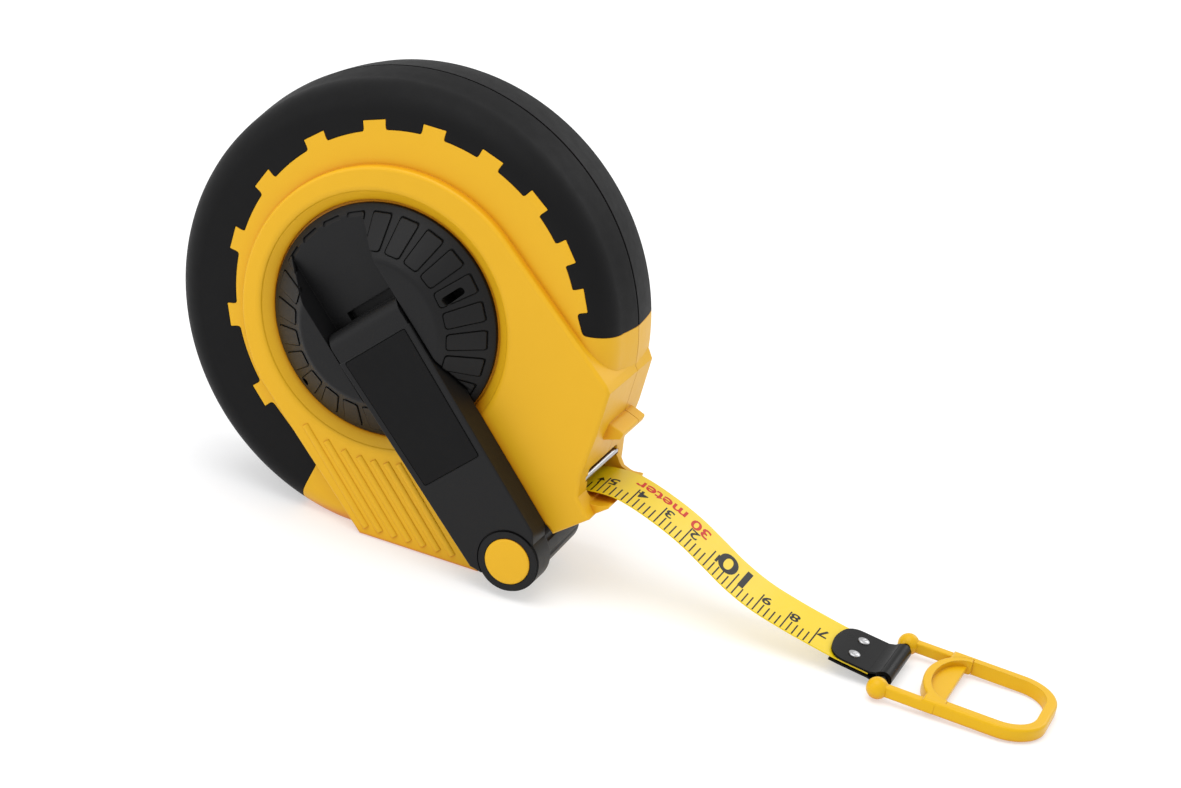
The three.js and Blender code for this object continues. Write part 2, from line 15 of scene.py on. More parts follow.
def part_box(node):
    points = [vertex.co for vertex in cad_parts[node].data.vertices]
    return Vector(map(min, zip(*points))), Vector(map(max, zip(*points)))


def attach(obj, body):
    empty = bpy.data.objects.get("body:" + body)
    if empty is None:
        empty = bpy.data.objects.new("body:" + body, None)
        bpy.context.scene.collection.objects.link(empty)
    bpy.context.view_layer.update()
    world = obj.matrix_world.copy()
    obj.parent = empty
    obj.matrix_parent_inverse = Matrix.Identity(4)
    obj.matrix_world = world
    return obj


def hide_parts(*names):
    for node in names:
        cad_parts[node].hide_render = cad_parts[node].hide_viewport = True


bl_info = {
    "name": "Reel tape measure",
    "version": (1, 0, 0),
    "blender": (4, 5, 0),
    "location": "View3D > Sidebar > Tape",
    "description": "Builds the case, crank, drawn-out tape and finger ring of a reel tape measure",
    "category": "Object",
}

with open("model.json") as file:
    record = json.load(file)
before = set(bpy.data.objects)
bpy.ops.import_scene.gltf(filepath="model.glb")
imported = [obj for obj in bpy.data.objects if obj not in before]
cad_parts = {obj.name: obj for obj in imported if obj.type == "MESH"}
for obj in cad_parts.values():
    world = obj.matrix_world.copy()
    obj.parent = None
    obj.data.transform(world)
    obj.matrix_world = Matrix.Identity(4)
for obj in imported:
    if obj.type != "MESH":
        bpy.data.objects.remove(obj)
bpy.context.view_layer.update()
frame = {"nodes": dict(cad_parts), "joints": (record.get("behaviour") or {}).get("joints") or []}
JOINTS = {joint["name"]: joint for joint in frame["joints"]}
REEL_AXIS = Vector(JOINTS["reel_spin"]["pos_m"]) * 1000
RING_PIVOT = Vector(JOINTS["ring_swing"]["pos_m"]) * 1000 - REEL_AXIS
KNOB_AXIS = Vector(JOINTS["knob_spin"]["pos_m"]) * 1000 - REEL_AXIS
FLOOR = -REEL_AXIS.z
ARM_ANGLE = math.atan2(KNOB_AXIS.z, KNOB_AXIS.x)
ARM_LENGTH = math.hypot(KNOB_AXIS.x, KNOB_AXIS.z)
HINGE_Y = JOINTS["arm_fold"]["pos_m"][1] * 1000
GAP = 0.15  # between the rubber and the case under it
PARTING = 0.12  # half the line between the two halves of the case
RUBBER_PARTING = 0.45  # half the groove between the two grips
MIDDLE = 4.0  # parting plane of the case
FRONT, REAR = -20.0, 24.6
TOOTH_ANGLES = (21.5, 34.8, 50, 66.5, 84, 102, 122, 145, 168, 194.7, 224)
FIELD_CENTRE = (5.4, 3.6)
FIELD_ROOT, FIELD_TIP = 57.4, 60.7
SCREW_BORE = 4.3
KNOB_HOLLOW = 12  # radius of the hollow that the folded knob lies in
LIP_HALF = 14.4
DUCT_HALF = 12.2
ARM_FRONT, ARM_BACK = -30.5, -20.4
BLADE_HALF, BLADE_THICK = 10.5, 0.44
SMALL_FIGURE, LARGE_FIGURE = 4.6, 10.6  # heights of the printed figures
SCALE_ZERO = 49.7  # the scale counts from the inside of the ring
INK_LIFT = 0.24
INK_THICK = 0.03


# ---- Mesh making ----
def new_object(name, mesh):
    piece = bpy.data.objects.new(name, mesh)
    bpy.context.scene.collection.objects.link(piece)
    return piece


def clean(mesh):
    work = bmesh.new()
    work.from_mesh(mesh)
    bmesh.ops.remove_doubles(work, verts=work.verts, dist=1e-4)
    bmesh.ops.recalc_face_normals(work, faces=work.faces)
    work.to_mesh(mesh)
    work.free()
    return mesh


def raw(points, faces):
    mesh = bpy.data.meshes.new("work")
    mesh.from_pydata(points, [], faces)
    return new_object("work", clean(mesh))


def line_mesh(points, edges=()):
    """Loose points and edges that a geometry tree builds on."""
    mesh = bpy.data.meshes.new("work")
    mesh.from_pydata(points, edges, [])
    return new_object("work", mesh)


def turned(profile, x=0.0, z=0.0, segments=192):
    """A closed profile of (radius, y) points turned about a line along Y."""
    points = []
    for step in range(segments):
        angle = 2 * math.pi * step / segments
        c, s = math.cos(angle), math.sin(angle)
        points += [(x + r * c, y, z + r * s) for r, y in profile]
    count = len(profile)
    faces = []
    for step in range(segments):
        here, there = step * count, (step + 1) % segments * count
        for i in range(count):
            j = (i + 1) % count
            if profile[i][0] < 1e-6 and profile[j][0] < 1e-6:
                continue
            faces.append((here + i, here + j, there + j, there + i))
    return raw(points, faces)


def rod(radius, low, high, x=0.0, z=0.0, segments=48, soft=0.0):
    ends = [(0, low), (radius, low), (radius, high), (0, high)]
    return turned(rounded_profile(ends, soft) if soft else ends, x, z, segments)


def rounded_outline(corners, soft, steps=5, share=0.45):
    """Rounds the corners of an outline by one size, or one for each, up to a share of a side."""
    out = []
    for i, corner in enumerate(corners):
        size = soft[i] if isinstance(soft, list) else soft
        here = Vector(corner)
        if size <= 0:
            out.append(tuple(here))
            continue
        before, after = Vector(corners[i - 1]), Vector(corners[(i + 1) % len(corners)])
        a = here + (before - here).normalized() * min(size, (before - here).length * share)
        b = here + (after - here).normalized() * min(size, (after - here).length * share)
        for step in range(steps + 1):
            t = step / steps
            out.append(tuple(a * (1 - t) ** 2 + here * 2 * t * (1 - t) + b * t * t))
    return out


def rounded_profile(corners, soft):
    """Rounds every corner of a profile that isn't on its axis."""
    return rounded_outline(corners, [0 if r < 1e-6 else soft for r, _ in corners], 4, 1 / 2.01)


def prism(outline, low, high, soft=0.0, steps=4, plane="XZ"):
    """An outline pushed from low to high, along Y or along Z, with both rims rounded."""
    work = bmesh.new()
    place = (lambda u, v, w: (u, w, v)) if plane == "XZ" else (lambda u, v, w: (u, v, w))
    bottom = [work.verts.new(place(u, v, low)) for u, v in outline]
    top = [work.verts.new(place(u, v, high)) for u, v in outline]
    count = len(outline)
    caps = [work.faces.new(bottom), work.faces.new(top)]
    for i in range(count):
        j = (i + 1) % count
        work.faces.new((bottom[i], bottom[j], top[j], top[i]))
    bmesh.ops.recalc_face_normals(work, faces=work.faces)
    if soft:
        rims = {edge for cap in caps for edge in cap.edges}
        shape = {"offset": soft, "segments": steps, "profile": 0.5, "affect": "EDGES", "clamp_overlap": True}
        bmesh.ops.bevel(work, geom=list(rims), **shape)
    mesh = bpy.data.meshes.new("work")
    work.to_mesh(mesh)
    work.free()
    return new_object("work", clean(mesh))


def oblong(u0, u1, v0, v1):
    return [(u0, v0), (u1, v0), (u1, v1), (u0, v1)]


def soft_prism(corners, corner_sizes, low, high, edge, steps=3):
    return prism(rounded_outline(corners, corner_sizes), low, high, edge, steps)


def slab(x0, x1, y0, y1, z0, z1):
    return prism(oblong(x0, x1, z0, z1), y0, y1)


def level_plate(outline, low, high, soft=0.0, steps=4):
    """An outline in the XY plane pushed from low to high along Z."""
    return prism(outline, low, high, soft, steps, "XY")


def strip(line, halves, low, high):
    """A sheet on a line in the XZ plane, from low to high along the line's normal."""
    points = []
    for i, (x, z) in enumerate(line):
        a, b = line[max(i - 1, 0)], line[min(i + 1, len(line) - 1)]
        run = math.hypot(b[0] - a[0], b[1] - a[1])
        nx, nz = -(b[1] - a[1]) / run, (b[0] - a[0]) / run
        half = halves[i] if isinstance(halves, list) else halves
        for offset in (low, high):
            points += [(x + nx * offset, side * half, z + nz * offset) for side in (-1, 1)]
    faces = [(0, 1, 3, 2)]
    for i in range(len(line) - 1):
        a, b = 4 * i, 4 * i + 4
        faces += [
            (a, b, b + 1, a + 1),
            (a + 2, a + 3, b + 3, b + 2),
            (a, a + 2, b + 2, b),
            (a + 1, b + 1, b + 3, a + 3),
        ]
    last = 4 * (len(line) - 1)
    faces.append((last, last + 2, last + 3, last + 1))
    return raw(points, faces)


def arc(x, z, radius, start, end, steps):
    span = [math.radians(start + (end - start) * i / steps) for i in range(steps + 1)]
    return [(x + radius * math.cos(a), z + radius * math.sin(a)) for a in span]


def settle(piece):
    """Replaces a piece's mesh by its evaluated one, with no modifier left."""
    graph = bpy.context.evaluated_depsgraph_get()
    mesh = bpy.data.meshes.new_from_object(piece.evaluated_get(graph))
    piece.modifiers.clear()
    old = piece.data
    piece.data = mesh
    bpy.data.meshes.remove(old)
    return piece


def combine(body, operation, *tools):
    """Joins tools to a body, cuts them from it, or keeps what they share."""
    for tool in tools:
        step = body.modifiers.new(operation, "BOOLEAN")
        step.operation = operation
        step.solver = "MANIFOLD"
        step.object = tool
        settle(body)
        if not body.data.polygons:
            raise RuntimeError(f"{operation} left nothing of {body.name}")
    for tool in tools:
        discard(tool)
    return body


def joined(body, *tools):
    return combine(body, "UNION", *tools)


def without(body, *tools):
    return combine(body, "DIFFERENCE", *tools)


def shared(body, *tools):
    return combine(body, "INTERSECT", *tools)


def discard(piece):
    mesh = piece.data
    bpy.data.objects.remove(piece)
    bpy.data.meshes.remove(mesh)


def duplicate(piece):
    return new_object(piece.name, piece.data.copy())


def finished(piece, name, body, slot, nodes=(), finish=None, crease=34):
    """Puts a piece in the frame, smooths its faces and lets it ride on its body."""
    piece.name = name
    piece.data.name = name
    piece.data.transform(Matrix.Scale(0.001, 4) @ Matrix.Translation(REEL_AXIS))
    work = bmesh.new()
    work.from_mesh(piece.data)
    bmesh.ops.remove_doubles(work, verts=work.verts, dist=2e-6)
    bmesh.ops.dissolve_degenerate(work, edges=work.edges, dist=1e-6)
    work.to_mesh(piece.data)
    work.free()
    piece.data.shade_smooth()
    piece.data.set_sharp_from_angle(angle=math.radians(crease))
    weigh = piece.modifiers.new("even_faces", "WEIGHTED_NORMAL")
    weigh.keep_sharp = True
    weigh.weight = 100
    settle(piece)
    piece.data.materials.clear()
    piece.data.materials.append(finish or FINISHES[slot]())
    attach(piece, body)
    if nodes:
        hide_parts(*nodes)


# ---- Node making ----
def arithmetic(operation, swapped=False):
    def result(self, other):
        first, second = (other, self) if swapped else (self, other)
        return self.nodes.math(operation, first, second)

    return result


class Value:
    """A number socket that can be used in sums."""

    def __init__(self, nodes, socket):
        self.nodes = nodes
        self.socket = socket

    __add__ = arithmetic("ADD")
    __sub__ = arithmetic("SUBTRACT")
    __rsub__ = arithmetic("SUBTRACT", True)
    __mul__ = arithmetic("MULTIPLY")
    __truediv__ = arithmetic("DIVIDE")
    __gt__ = arithmetic("GREATER_THAN")


class Nodes:
    """Adds nodes to a tree, with the values or links of their sockets and their settings."""

    def __init__(self, tree):
        self.tree = tree

    def fill(self, node, values):
        for key, value in values.items():
            if isinstance(value, Value):
                self.tree.links.new(value.socket, node.inputs[key])
            else:
                node.inputs[key].default_value = value

    def add(self, kind, values=None, out=0, **settings):
        node = self.tree.nodes.new(kind)
        for key, value in settings.items():
            setattr(node, key, value)
        self.fill(node, values or {})
        return Value(self, node.outputs[out])

    def math(self, operation, a, b=0.0):
        return self.add("ShaderNodeMath", {0: a, 1: b}, operation=operation)

    def vector(self, **parts):
        return self.add("ShaderNodeCombineXYZ", parts)

    def copies(self, points, piece, turn, **more):
        values = {"Points": points, "Instance": piece, "Rotation": turn, **more}
        return self.add("GeometryNodeInstanceOnPoints", values)

    def mix(self, factor, a, b):
        values = {0: factor, 6: a, 7: b}
        return self.add("ShaderNodeMix", values, 2, data_type="RGBA", clamp_factor=True)


def linear(colour, scale=1.0):
    """A screen colour of three shares as a linear colour with alpha."""
    parts = [c / 12.92 if c <= 0.04045 else ((c + 0.055) / 1.055) ** 2.4 for c in colour]
    return (*(min(1.0, part * scale) for part in parts), 1)


def finish_maker(build):
    """Makes a material once for each name; build gives the values of its principled shader."""

    def found_or_built(name, *settings):
        made = bpy.data.materials.get(name)
        if not made:
            made = bpy.data.materials.new(name)
            made.use_nodes = True
            nodes = Nodes(made.node_tree)
            place = nodes.add("ShaderNodeTexCoord", out=3)
            nodes.fill(made.node_tree.nodes["Principled BSDF"], build(nodes, place, *settings))
        return made

    return found_or_built


def noise(nodes, place, scale, detail=2.0, roughness=0.5):
    values = {"Vector": place, "Scale": scale, "Detail": detail, "Roughness": roughness}
    return nodes.add("ShaderNodeTexNoise", values)


def bump(nodes, height, strength, distance, **more):
    values = {"Strength": strength, "Distance": distance, "Height": height, **more}
    return nodes.add("ShaderNodeBump", values)


def grain(nodes, place, scale, height, edge=0.00035):
    """Moulded grain on top of slightly rounded edges."""
    rounding = nodes.add("ShaderNodeBevel", {"Radius": edge}, samples=4)
    return bump(nodes, noise(nodes, place, scale, 3.0), 1.0, height, Normal=rounding)


@finish_maker
def moulded_plastic(nodes, place, colour, shade_colour, rough, scale=1900.0, height=0.000012, coat=0.0, shine=0.25):
    """Moulded plastic with painted shade: its hollows and corners are mixed towards a darker shade colour."""
    cloud = noise(nodes, place, 35.0, 3.0)
    body = nodes.mix(cloud, linear(colour, 0.965), linear(colour, 1.03))
    # Painted shade: ambient occlusion mixes hollows, creases and corners towards the shade colour.
    shelter = nodes.add("ShaderNodeAmbientOcclusion", {"Distance": 0.006}, out=1, samples=8)
    hollow = nodes.add("ShaderNodeValToRGB", {"Fac": shelter})
    shaded_stop, open_stop = hollow.socket.node.color_ramp.elements
    shaded_stop.position, shaded_stop.color = 0.2, (1, 1, 1, 1)
    open_stop.position, open_stop.color = 0.75, (0, 0, 0, 1)
    return {
        "Base Color": nodes.mix(hollow, body, linear(shade_colour)),
        "Roughness": noise(nodes, place, 420.0, 4.0) * 0.12 + (rough - 0.06),
        "Normal": grain(nodes, place, scale, height),
        "Specular IOR Level": shine,
        "Coat Weight": coat,
        "Coat Roughness": 0.15,
    }


@finish_maker
def soft_rubber(nodes, place, colour):
    dust = noise(nodes, place, 60.0, 6.0, 0.65)
    return {
        "Base Color": nodes.mix(dust, linear(colour, 0.82), linear(colour, 1.3)),
        "Roughness": noise(nodes, place, 300.0, 3.0) * 0.14 + 0.5,
        "Normal": grain(nodes, place, 2600.0, 0.00002),
        "Specular IOR Level": 0.12,
    }


@finish_maker
def bright_steel(nodes, place, tone, rough):
    """Drawn steel with fine lines across its length."""
    drawn = nodes.add("ShaderNodeMapping", {"Vector": place, "Scale": (900.0, 40.0, 900.0)})
    lines = noise(nodes, drawn, 3.0, 4.0)
    dull, clear = (tone * 0.9, tone * 0.9, tone * 0.92, 1), (tone, tone, tone * 1.01, 1)
    return {
        "Base Color": nodes.mix(noise(nodes, place, 160.0), dull, clear),
        "Roughness": lines * 0.16 + rough,
        "Normal": bump(nodes, lines, 0.5, 0.000006),
        "Metallic": 1.0,
    }


@finish_maker
def black_paint(nodes, place, colour):
    """Gloss paint on sheet steel, thin and worn in small flecks."""
    fleck = noise(nodes, place, 1400.0, 5.0, 0.7) > 0.72
    dust = noise(nodes, place, 220.0, 4.0)
    paint = nodes.mix(dust, linear(colour, 0.8), linear(colour, 1.6))
    return {
        "Base Color": nodes.mix(fleck, paint, (0.06, 0.06, 0.06, 1)),
        "Roughness": dust * 0.2 + 0.2,
        "Normal": grain(nodes, place, 700.0, 0.00001, 0.0002),
        "Specular IOR Level": 0.1,
    }


@finish_maker
def coated_tape(nodes, place, colour):
    """Glossy coating over a fine lengthwise weave of glass fibre."""
    cloud = noise(nodes, place, 70.0, 3.0)
    weave = {"Vector": place, "Scale": 380.0, "Distortion": 0.6, "Detail": 1.0}
    threads = nodes.add("ShaderNodeTexWave", weave, wave_type="BANDS", bands_direction="Y")
    return {
        "Base Color": nodes.mix(cloud, linear(colour, 0.95), linear(colour, 1.04)),
        "Roughness": noise(nodes, place, 500.0, 3.0) * 0.12 + 0.3,
        "Normal": bump(nodes, threads, 0.6, 0.000008),
        "Specular IOR Level": 0.3,
        "Coat Weight": 0.06,
        "Coat Roughness": 0.12,
    }


@finish_maker
def printed_ink(nodes, place, colour):
    patch = noise(nodes, place, 900.0, 4.0, 0.7)
    return {
        "Base Color": nodes.mix(patch, linear(colour, 0.8), linear(colour, 1.25)),
        "Roughness": patch * 0.2 + 0.3,
        "Specular IOR Level": 0.2,
    }


@finish_maker
def studio_floor(nodes, place):
    cloud = noise(nodes, place, 6.0)
    return {
        "Base Color": nodes.mix(cloud, (0.55, 0.55, 0.555, 1), (0.57, 0.57, 0.575, 1)),
        "Roughness": 0.9,
        "Specular IOR Level": 0.1,
        "Emission Color": (1, 1, 1, 1),
        "Emission Strength": 0.46,
    }


# ---- Node trees for what repeats ----
def tree_with(name, **sockets):
    """A geometry tree with named inputs and one mesh output."""
    tree = bpy.data.node_groups.new(name, "GeometryNodeTree")
    tree.interface.new_socket("Mesh", in_out="INPUT", socket_type="NodeSocketGeometry")
    for label, kind in sockets.items():
        tree.interface.new_socket(label, in_out="INPUT", socket_type="NodeSocket" + kind)
    tree.interface.new_socket("Mesh", in_out="OUTPUT", socket_type="NodeSocketGeometry")
    source = tree.nodes.new("NodeGroupInput")
    nodes = Nodes(tree)
    given = {socket.name: Value(nodes, socket) for socket in source.outputs if socket.name}
    return tree, nodes, given


def close_tree(nodes, mesh, finish):
    real = nodes.add("GeometryNodeRealizeInstances", {"Geometry": mesh})
    painted = nodes.add("GeometryNodeSetMaterial", {"Geometry": real, "Material": finish})
    end = nodes.tree.nodes.new("NodeGroupOutput")
    nodes.tree.links.new(painted.socket, end.inputs[0])


def grown_by(piece, tree, values):
    """Runs a tree on a piece with its named inputs and keeps the plain mesh."""
    step = piece.modifiers.new(tree.name, "NODES")
    step.node_group = tree
    for item in tree.interface.items_tree:
        if item.in_out == "INPUT" and item.name in values:
            step[item.identifier] = values[item.name]
    return settle(piece)


def ring_of_copies():
    """Turns copies of a mesh about the Y axis."""
    tree, nodes, given = tree_with("ring_of_copies", Count="Int", Turn="Float", Finish="Material")
    points = nodes.add("GeometryNodeMeshLine", {"Count": given["Count"], "Offset": (0, 0, 0)})
    index = nodes.add("GeometryNodeInputIndex")
    angle = index * nodes.math("DIVIDE", 2 * math.pi, given["Count"]) + given["Turn"]
    copies = nodes.copies(points, given["Mesh"], nodes.vector(Y=angle))
    close_tree(nodes, copies, given["Finish"])
    return tree


def copies_on_points():
    """Sets a copy of an object at each point of a mesh."""
    tree, nodes, given = tree_with("copies_on_points", Piece="Object", Turn="Float", Finish="Material")
    values = {"Object": given["Piece"]}
    piece = nodes.add("GeometryNodeObjectInfo", values, out=4, transform_space="ORIGINAL")
    index = nodes.add("GeometryNodeInputIndex")
    copies = nodes.copies(given["Mesh"], piece, nodes.vector(Y=index * given["Turn"]))
    close_tree(nodes, copies, given["Finish"])
    return tree


def ribs_on_edges():
    """Sweeps a low round section along each edge and tapers its ends."""
    tree, nodes, given = tree_with("ribs_on_edges", Half="Float", Finish="Material")
    curve = nodes.add("GeometryNodeMeshToCurve", {"Mesh": given["Mesh"]})
    fine = nodes.add("GeometryNodeResampleCurve", {"Curve": curve, "Count": 40})
    along = nodes.add("GeometryNodeSplineParameter")
    near_end = nodes.math("MINIMUM", along, 1.0 - along)
    swell = nodes.math("MINIMUM", nodes.math("SQRT", near_end * 14.0), 1.0)
    shaped = nodes.add("GeometryNodeSetCurveRadius", {"Curve": fine, "Radius": swell})
    section = nodes.add("GeometryNodeCurvePrimitiveCircle", {"Resolution": 16, "Radius": given["Half"]})
    values = {"Curve": shaped, "Profile Curve": section, "Fill Caps": True}
    ribs = nodes.add("GeometryNodeCurveToMesh", values)
    close_tree(nodes, ribs, given["Finish"])
    return tree


def divisions_on_path():
    """Lays a short line across a path at every division, and a long one at every fifth."""
    lengths = dict.fromkeys(("Start", "Step", "Edge", "Short", "Long", "Width", "Lift"), "Float")
    tree, nodes, given = tree_with("divisions_on_path", Count="Int", Finish="Material", **lengths)
    path = nodes.add("GeometryNodeMeshToCurve", {"Mesh": given["Mesh"]})
    points = nodes.add("GeometryNodeMeshLine", {"Count": given["Count"], "Offset": (0, 0, 0)})
    index = nodes.add("GeometryNodeInputIndex")
    values = {"Curves": path, "Length": index * given["Step"] + given["Start"]}
    sample = nodes.add("GeometryNodeSampleCurve", values, 1, mode="LENGTH", use_all_curves=True)
    tangent = Value(nodes, sample.socket.node.outputs["Tangent"])
    parts = nodes.add("ShaderNodeSeparateXYZ", {"Vector": tangent}).socket.node
    tx, tz = Value(nodes, parts.outputs["X"]), Value(nodes, parts.outputs["Z"])
    whole = 1.0 - (nodes.math("FLOORED_MODULO", index, 5.0) > 0.5)
    length = given["Short"] + whole * (given["Long"] - given["Short"])
    shift = nodes.vector(X=tz * given["Lift"], Y=given["Edge"] + length / 2.0, Z=0.0 - tx * given["Lift"])
    place = nodes.add("ShaderNodeVectorMath", {0: sample, 1: shift}, operation="ADD")
    laid = nodes.add("GeometryNodeSetPosition", {"Geometry": points, "Position": place})
    turn = nodes.vector(Y=nodes.math("ARCTAN2", 0.0 - tz, tx))
    size = nodes.vector(X=given["Width"], Y=length, Z=INK_THICK)
    bar = nodes.add("GeometryNodeMeshCube", {"Size": (1, 1, 1)})
    bars = nodes.copies(laid, bar, turn, Scale=size)
    close_tree(nodes, bars, given["Finish"])
    return tree


# ---- Case shapes ----
def at_knob(radius, low, high, segments=96, soft=0.0):
    return rod(radius, low, high, KNOB_AXIS.x, KNOB_AXIS.z, segments, soft)


def rim_profile(inset):
    """Section of the round rim: flat faces, round shoulders and a slight crown."""
    span = [math.radians(7.5 * i) for i in range(13)]
    front = [(64 + (9.6 - inset) * math.sin(t), -5.6 - (11 - inset) * math.cos(t)) for t in span]
    rear = [(64 + (9.6 - inset) * math.sin(t), 18 + (5.4 - inset) * math.cos(t)) for t in reversed(span)]
    crown = [(74.05, -3), (74.45, 0), (74.75, 2.5), (74.9, MIDDLE), (74.75, 6.5), (74.45, 11), (74.05, 15)]
    return [(0, front[0][1]), *front, *((r - inset, y) for r, y in crown), *rear, (0, rear[-1][1])]


def rim(inset):
    return turned(rim_profile(inset), segments=240)


def body_outline():
    """Raised field, nose and foot without the lip."""
    field = arc(2.2, -0.5, 50, 48, 218, 90)
    hollow = arc(KNOB_AXIS.x, KNOB_AXIS.z, KNOB_HOLLOW, 200, 41, 30)
    nose = [(76.2, -42.6), (71.4, -36.5), (71.1, -29.8), (74, -15), (75.8, -0.8)]
    return [(74.3, 1.6), *field, (2.6, FLOOR), (43.5, FLOOR), *hollow, *nose]


def mouth_lip():
    """Scoop under the tape, with a cheek at the far side and a lower one at the near side."""
    base = [(64, -50.5), (76.4, -42.3), (80.3, -39.3)]
    far = [*base, (80.6, -37.6), (77, -38), (73.4, -36.6), (71.6, -33.5), (64, -31)]
    near = [*base, (80.2, -38.4), (76.6, -39.7), (72.6, -39.6), (70, -36.5), (64, -33)]
    far_side = soft_prism(far, [0, 1.2, 1.2, 0.5, 1, 1, 1, 0], -2, LIP_HALF, 0.7)
    near_side = soft_prism(near, [0, 1.2, 0.6, 0.4, 2, 2, 1, 0], -LIP_HALF, 2, 0.7)
    return joined(far_side, near_side)


def thumb_ledge():
    outline = [(70, -13.8), (74.9, -14.6), (79.2, -16.3), (78.6, -18.4), (73.2, -20.2), (70, -20.2)]
    return soft_prism(outline, [0, 0.6, 0.8, 0.6, 0.8, 0], -9.7, 9.7, 0.6)


def on_field(angle, radius):
    """Where a ray from the reel axis meets a circle about the yellow field's centre."""
    u = (math.cos(angle), math.sin(angle))
    cx, cz = FIELD_CENTRE
    along = u[0] * cx + u[1] * cz
    reach = along + math.sqrt(along**2 - cx**2 - cz**2 + radius**2)
    return (u[0] * reach, u[1] * reach)


def yellow_field(margin):
    """Castellated outline of the yellow field inside the rubber."""
    root, tip = FIELD_ROOT + margin, FIELD_TIP + margin
    points = [(90, -90), (90, 13.7 + margin), (63.4 + margin, 13.7 + margin)]
    soft = [0, 0, 1.2]
    for i, tooth in enumerate(TOOTH_ANGLES):
        middle = math.radians(tooth)
        half = (3.7 + margin) / math.hypot(*on_field(middle, root))
        corners = ((-half, root, 1.5), (-half, tip, 0.3), (half, tip, 0.3), (half, root, 1.5))
        for angle, radius, size in corners:
            points.append(on_field(middle + angle, radius))
            soft.append(size)
        if i + 1 < len(TOOTH_ANGLES):
            start, stop = middle + half, math.radians(TOOTH_ANGLES[i + 1]) - half
            for step in range(1, 8):
                points.append(on_field(start + (stop - start) * step / 8, root))
                soft.append(0)
    points += [(-16.2 - margin, -53.7), (-20 - margin, -64.7), (-24.6 - margin, -90)]
    soft += [1.5, 0.5, 0]
    return rounded_outline(points, soft, 4)


def rubber_layer(gap, thick=2.0):
    """The layer that the rubber fills; its room in the case is open to the outside."""
    outside = rim(-1.0 if gap > 0 else 0.0)
    return without(outside, rim(thick + gap), prism(yellow_field(-gap), -40, 40))


def screw_places():
    """Where the five screws stand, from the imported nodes."""
    places = []
    for i in range(1, 6):
        low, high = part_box(f"case_screw_{i}")
        middle = (low + high) * 500 - REEL_AXIS
        places.append((middle.x, middle.z))
    return places


def reel_room():
    """Reel chamber, tape duct and mouth, less the screw bosses and the wall of the knob's hollow."""
    walls = [(0, -14), (44, -14), (46, -13), (65.2, -13), (68.5, -10.5), (68.5, 14.6), (60, 19), (0, 19)]
    chamber = turned(walls, segments=96)
    duct = [(40, -52.5), (52, -45.2), (62, -41.6), (70, -38.8), (77, -39.4), (90, -37.6), (90, -30)]
    duct += [(71.1, -29.8), (64, -27), (50, -25)]
    room = joined(chamber, soft_prism(duct, [0, 0, 0, 1, 1, 0, 0, 2, 0, 0], -DUCT_HALF, DUCT_HALF, 1.6, 4))
    bosses = [rod(3.4, -30, 30, x, z, 24) for x, z in screw_places()]
    return without(room, at_knob(KNOB_HOLLOW + 1.9, -30, 30, 48), *bosses)


def nose_slope():
    """What is missing behind the nose, where the rear half is narrower."""
    outline = [(57, 26), (65, 20), (76, 16.8), (90, 14), (90, 30), (57, 30)]
    return level_plate(outline, -44, 40)


def whole_case():
    body = without(prism(body_outline(), FRONT, REAR, 1.8, 7), nose_slope())
    shell = without(rim(0), at_knob(KNOB_HOLLOW, -60, 60, 64))
    shell = joined(shell, body, mouth_lip(), thumb_ledge())
    return without(shell, rubber_layer(GAP), reel_room(), rod(1.25, -13.8, 13.8, 70.3, -32.6, 24))


def front_half(gap=PARTING):
    return slab(-120, 120, -60, MIDDLE - gap, FLOOR, 120)


def rear_half(gap=PARTING):
    return slab(-120, 120, MIDDLE + gap, 60, FLOOR, 120)


def crank_funnel():
    """Round cut in the front face, with a rolled rim and a sloping wall."""
    profile = [(0, -30), (52, -30), (43.4, -20.01)]
    for i in range(1, 9):
        t = math.radians(90 * i / 8)
        profile.append((43.4 - 2.2 * math.sin(t), -20.01 + 0.9 * (1 - math.cos(t))))
    profile += [(38.7, -17.4), (37.95, -16.6), (37.9, -16), (0, -16)]
    return turned(profile, segments=192)


def rib_lines():
    """Middle lines of the grip ribs: from a circle round the reel down to the foot."""
    settings = bpy.context.scene.tape_case
    lean = math.radians(-47.5)
    points, edges = [], []
    for i in range(settings.rib_count):
        x, z = 4.8 + 5 * i, -68.2
        across = x * math.sin(lean) - z * math.cos(lean)
        along = x * math.cos(lean) + z * math.sin(lean)
        length = along - math.sqrt(max(0.0, 45.5**2 - across**2))
        points += [(x, -20, z), (x - length * math.cos(lean), -20, z - length * math.sin(lean))]
        edges.append((2 * i, 2 * i + 1))
    return line_mesh(points, edges)


# ---- Crank shapes ----
def along_arm(s, n):
    c, d = math.cos(ARM_ANGLE), math.sin(ARM_ANGLE)
    return (c * s - d * n, d * s + c * n)


def across_arm(s0, s1, n0, n1, low, high):
    return prism([along_arm(s, n) for s, n in oblong(s0, s1, n0, n1)], low, high)


def both_sides(edge):
    return [(s, -n) for s, n in edge] + [(s, n) for s, n in reversed(edge)]


def arm_plate(edge, low, high, soft=0.0, steps=4, corner=0.0):
    outline = both_sides(edge)
    outline = rounded_outline(outline, corner, 6) if corner else outline
    return prism([along_arm(s, n) for s, n in outline], low, high, soft, steps)


def hinge_rod(radius, half, segments=40):
    """A rod on the hinge line, across the arm."""
    bar = rod(radius, -half, half, 0, 0, segments)
    direction = Vector((-math.sin(ARM_ANGLE), 0, math.cos(ARM_ANGLE)))
    turn = Vector((0, 1, 0)).rotation_difference(direction)
    bar.data.transform(Matrix.Translation((0, HINGE_Y, 0)) @ turn.to_matrix().to_4x4())
    return bar


def cone_height(r):
    return -17.8 - (37.2 - r) * 11.0 / 13.7


